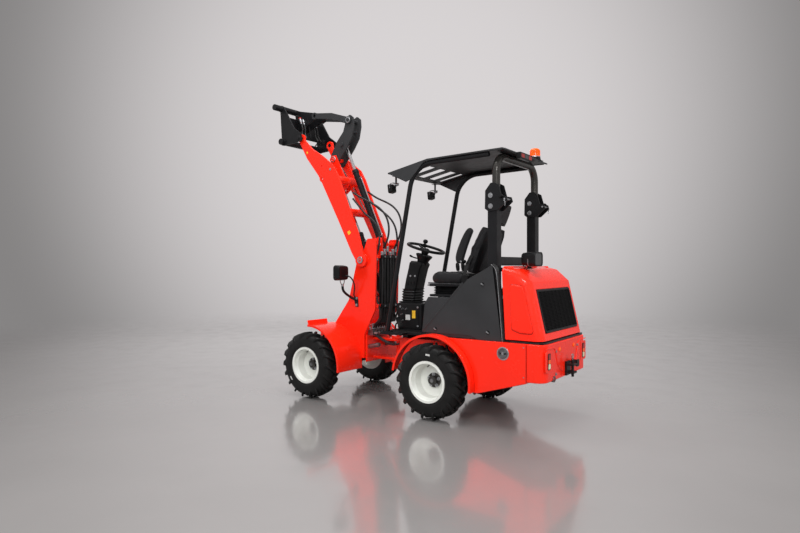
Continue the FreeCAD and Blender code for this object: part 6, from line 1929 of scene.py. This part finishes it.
engine = {
    "filter": [(-0.11, 0.0), (-0.11, 0.05), (-0.1, 0.056), (0.07, 0.056), (0.075, 0.06), (0.1, 0.06),
        (0.11, 0.052), (0.11, 0.0)], "filterAt": (0.17, 0.125, -0.062),
    # from the block's rear top edge
    "intake": ((0.1, 0.125, -0.062), (0.06, 0.11, -0.07), (0.07, 0.06, -0.12), (0.11, 0.04, -0.14)),
    "intakeRadius": 0.026,
    "muffler": [(-0.09, 0.0), (-0.09, 0.04), (-0.08, 0.05), (0.08, 0.05), (0.09, 0.04), (0.09, 0.0)],
    "mufflerAt": (0.17, -0.13, -0.11),
    "fins": 24, "finStart": -0.172, "finPitch": 0.015, "finHalf": 0.0015, "fanX": 0.062, "blades": 7,
    # distance out, half width and twist of a blade
    "blade": ((0.03, 0.018, 0.01), (0.09, 0.028, 0.008), (0.15, 0.034, 0.005)), "bladeThick": 0.003,
    "pulleys": ((0.0, 0.052), (0.12, 0.034), (-0.11, 0.03)), "pulleyX": 0.066, "pulleyDrop": 0.25,
}


def makeEngine():
    # what shows when the hood is up: block, cooler, fan, air filter and belts
    own, parts = engine, []
    low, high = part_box("engine")
    rearTop = Vector((low.x, 0, high.z))
    filterAt, mufflerAt = (rearTop + Vector(own[key]) for key in ("filterAt", "mufflerAt"))
    add(parts, "castIron",
        block((low.x + 0.07, low.y + 0.05, low.z), (high.x - 0.02, high.y - 0.05, high.z - 0.2), 0.01),
        block((low.x + 0.09, -0.075, high.z - 0.202), (high.x - 0.03, 0.075, high.z - 0.09), 0.012))
    add(parts, "paintBlack",
            block((low.x + 0.1, -0.06, high.z - 0.092), (high.x - 0.04, 0.06, high.z - 0.046),
            0.014))
    add(parts, "plasticBlack", spun(own["filter"], filterAt, (1, 0, 0), 40))
    add(parts, "hoseRubber", bar([rearTop + Vector(spot) for spot in own["intake"]], own["intakeRadius"]))
    add(parts, "steelGrey", spun(own["muffler"], mufflerAt, (1, 0, 0), 36))
    add(parts, "plasticBlack",
            block((low.x, -0.185, low.z + 0.01), (low.x + 0.046, 0.185, high.z - 0.006), 0.006))
    for index in range(own["fins"]):
        y, half = own["finStart"] + own["finPitch"] * index, own["finHalf"]
        add(parts, "steelGrey", block((low.x + 0.044, y - half, low.z + 0.03),
                (low.x + 0.05, y + half, high.z - 0.03), 0.0005))
    middle, thick = Vector((low.x + own["fanX"], 0.0, (low.z + high.z) / 2)), own["bladeThick"]
    for turn in turns(own["blades"]):
        c, s = math.cos(turn), math.sin(turn)
        add(parts, "plasticBlack", drawnOut([
            [middle + Vector((t, reach * c - w * s, reach * s + w * c)) for w, t in
             ((-half, -twist), (half, twist), (half, twist + thick), (-half, thick - twist))]
            for reach, half, twist in own["blade"]]))
    for y, radius in own["pulleys"]:
        pulley = [(0, 0.0), (0, radius), (0.006, radius), (0.012, radius - 0.008), (0.018, radius),
                (0.024, radius),
                (0.024, 0.0)]
        level = high.z - own["pulleyDrop"] + abs(y) * 0.8
        add(parts, "steelGrey", spun(pulley, (low.x + own["pulleyX"], y, level), (1, 0, 0), 36))
    finish(parts, "engine_finished", "chassis", 40, "engine")


makeEngine()
print("arms, coupler, floor and engine dressed")
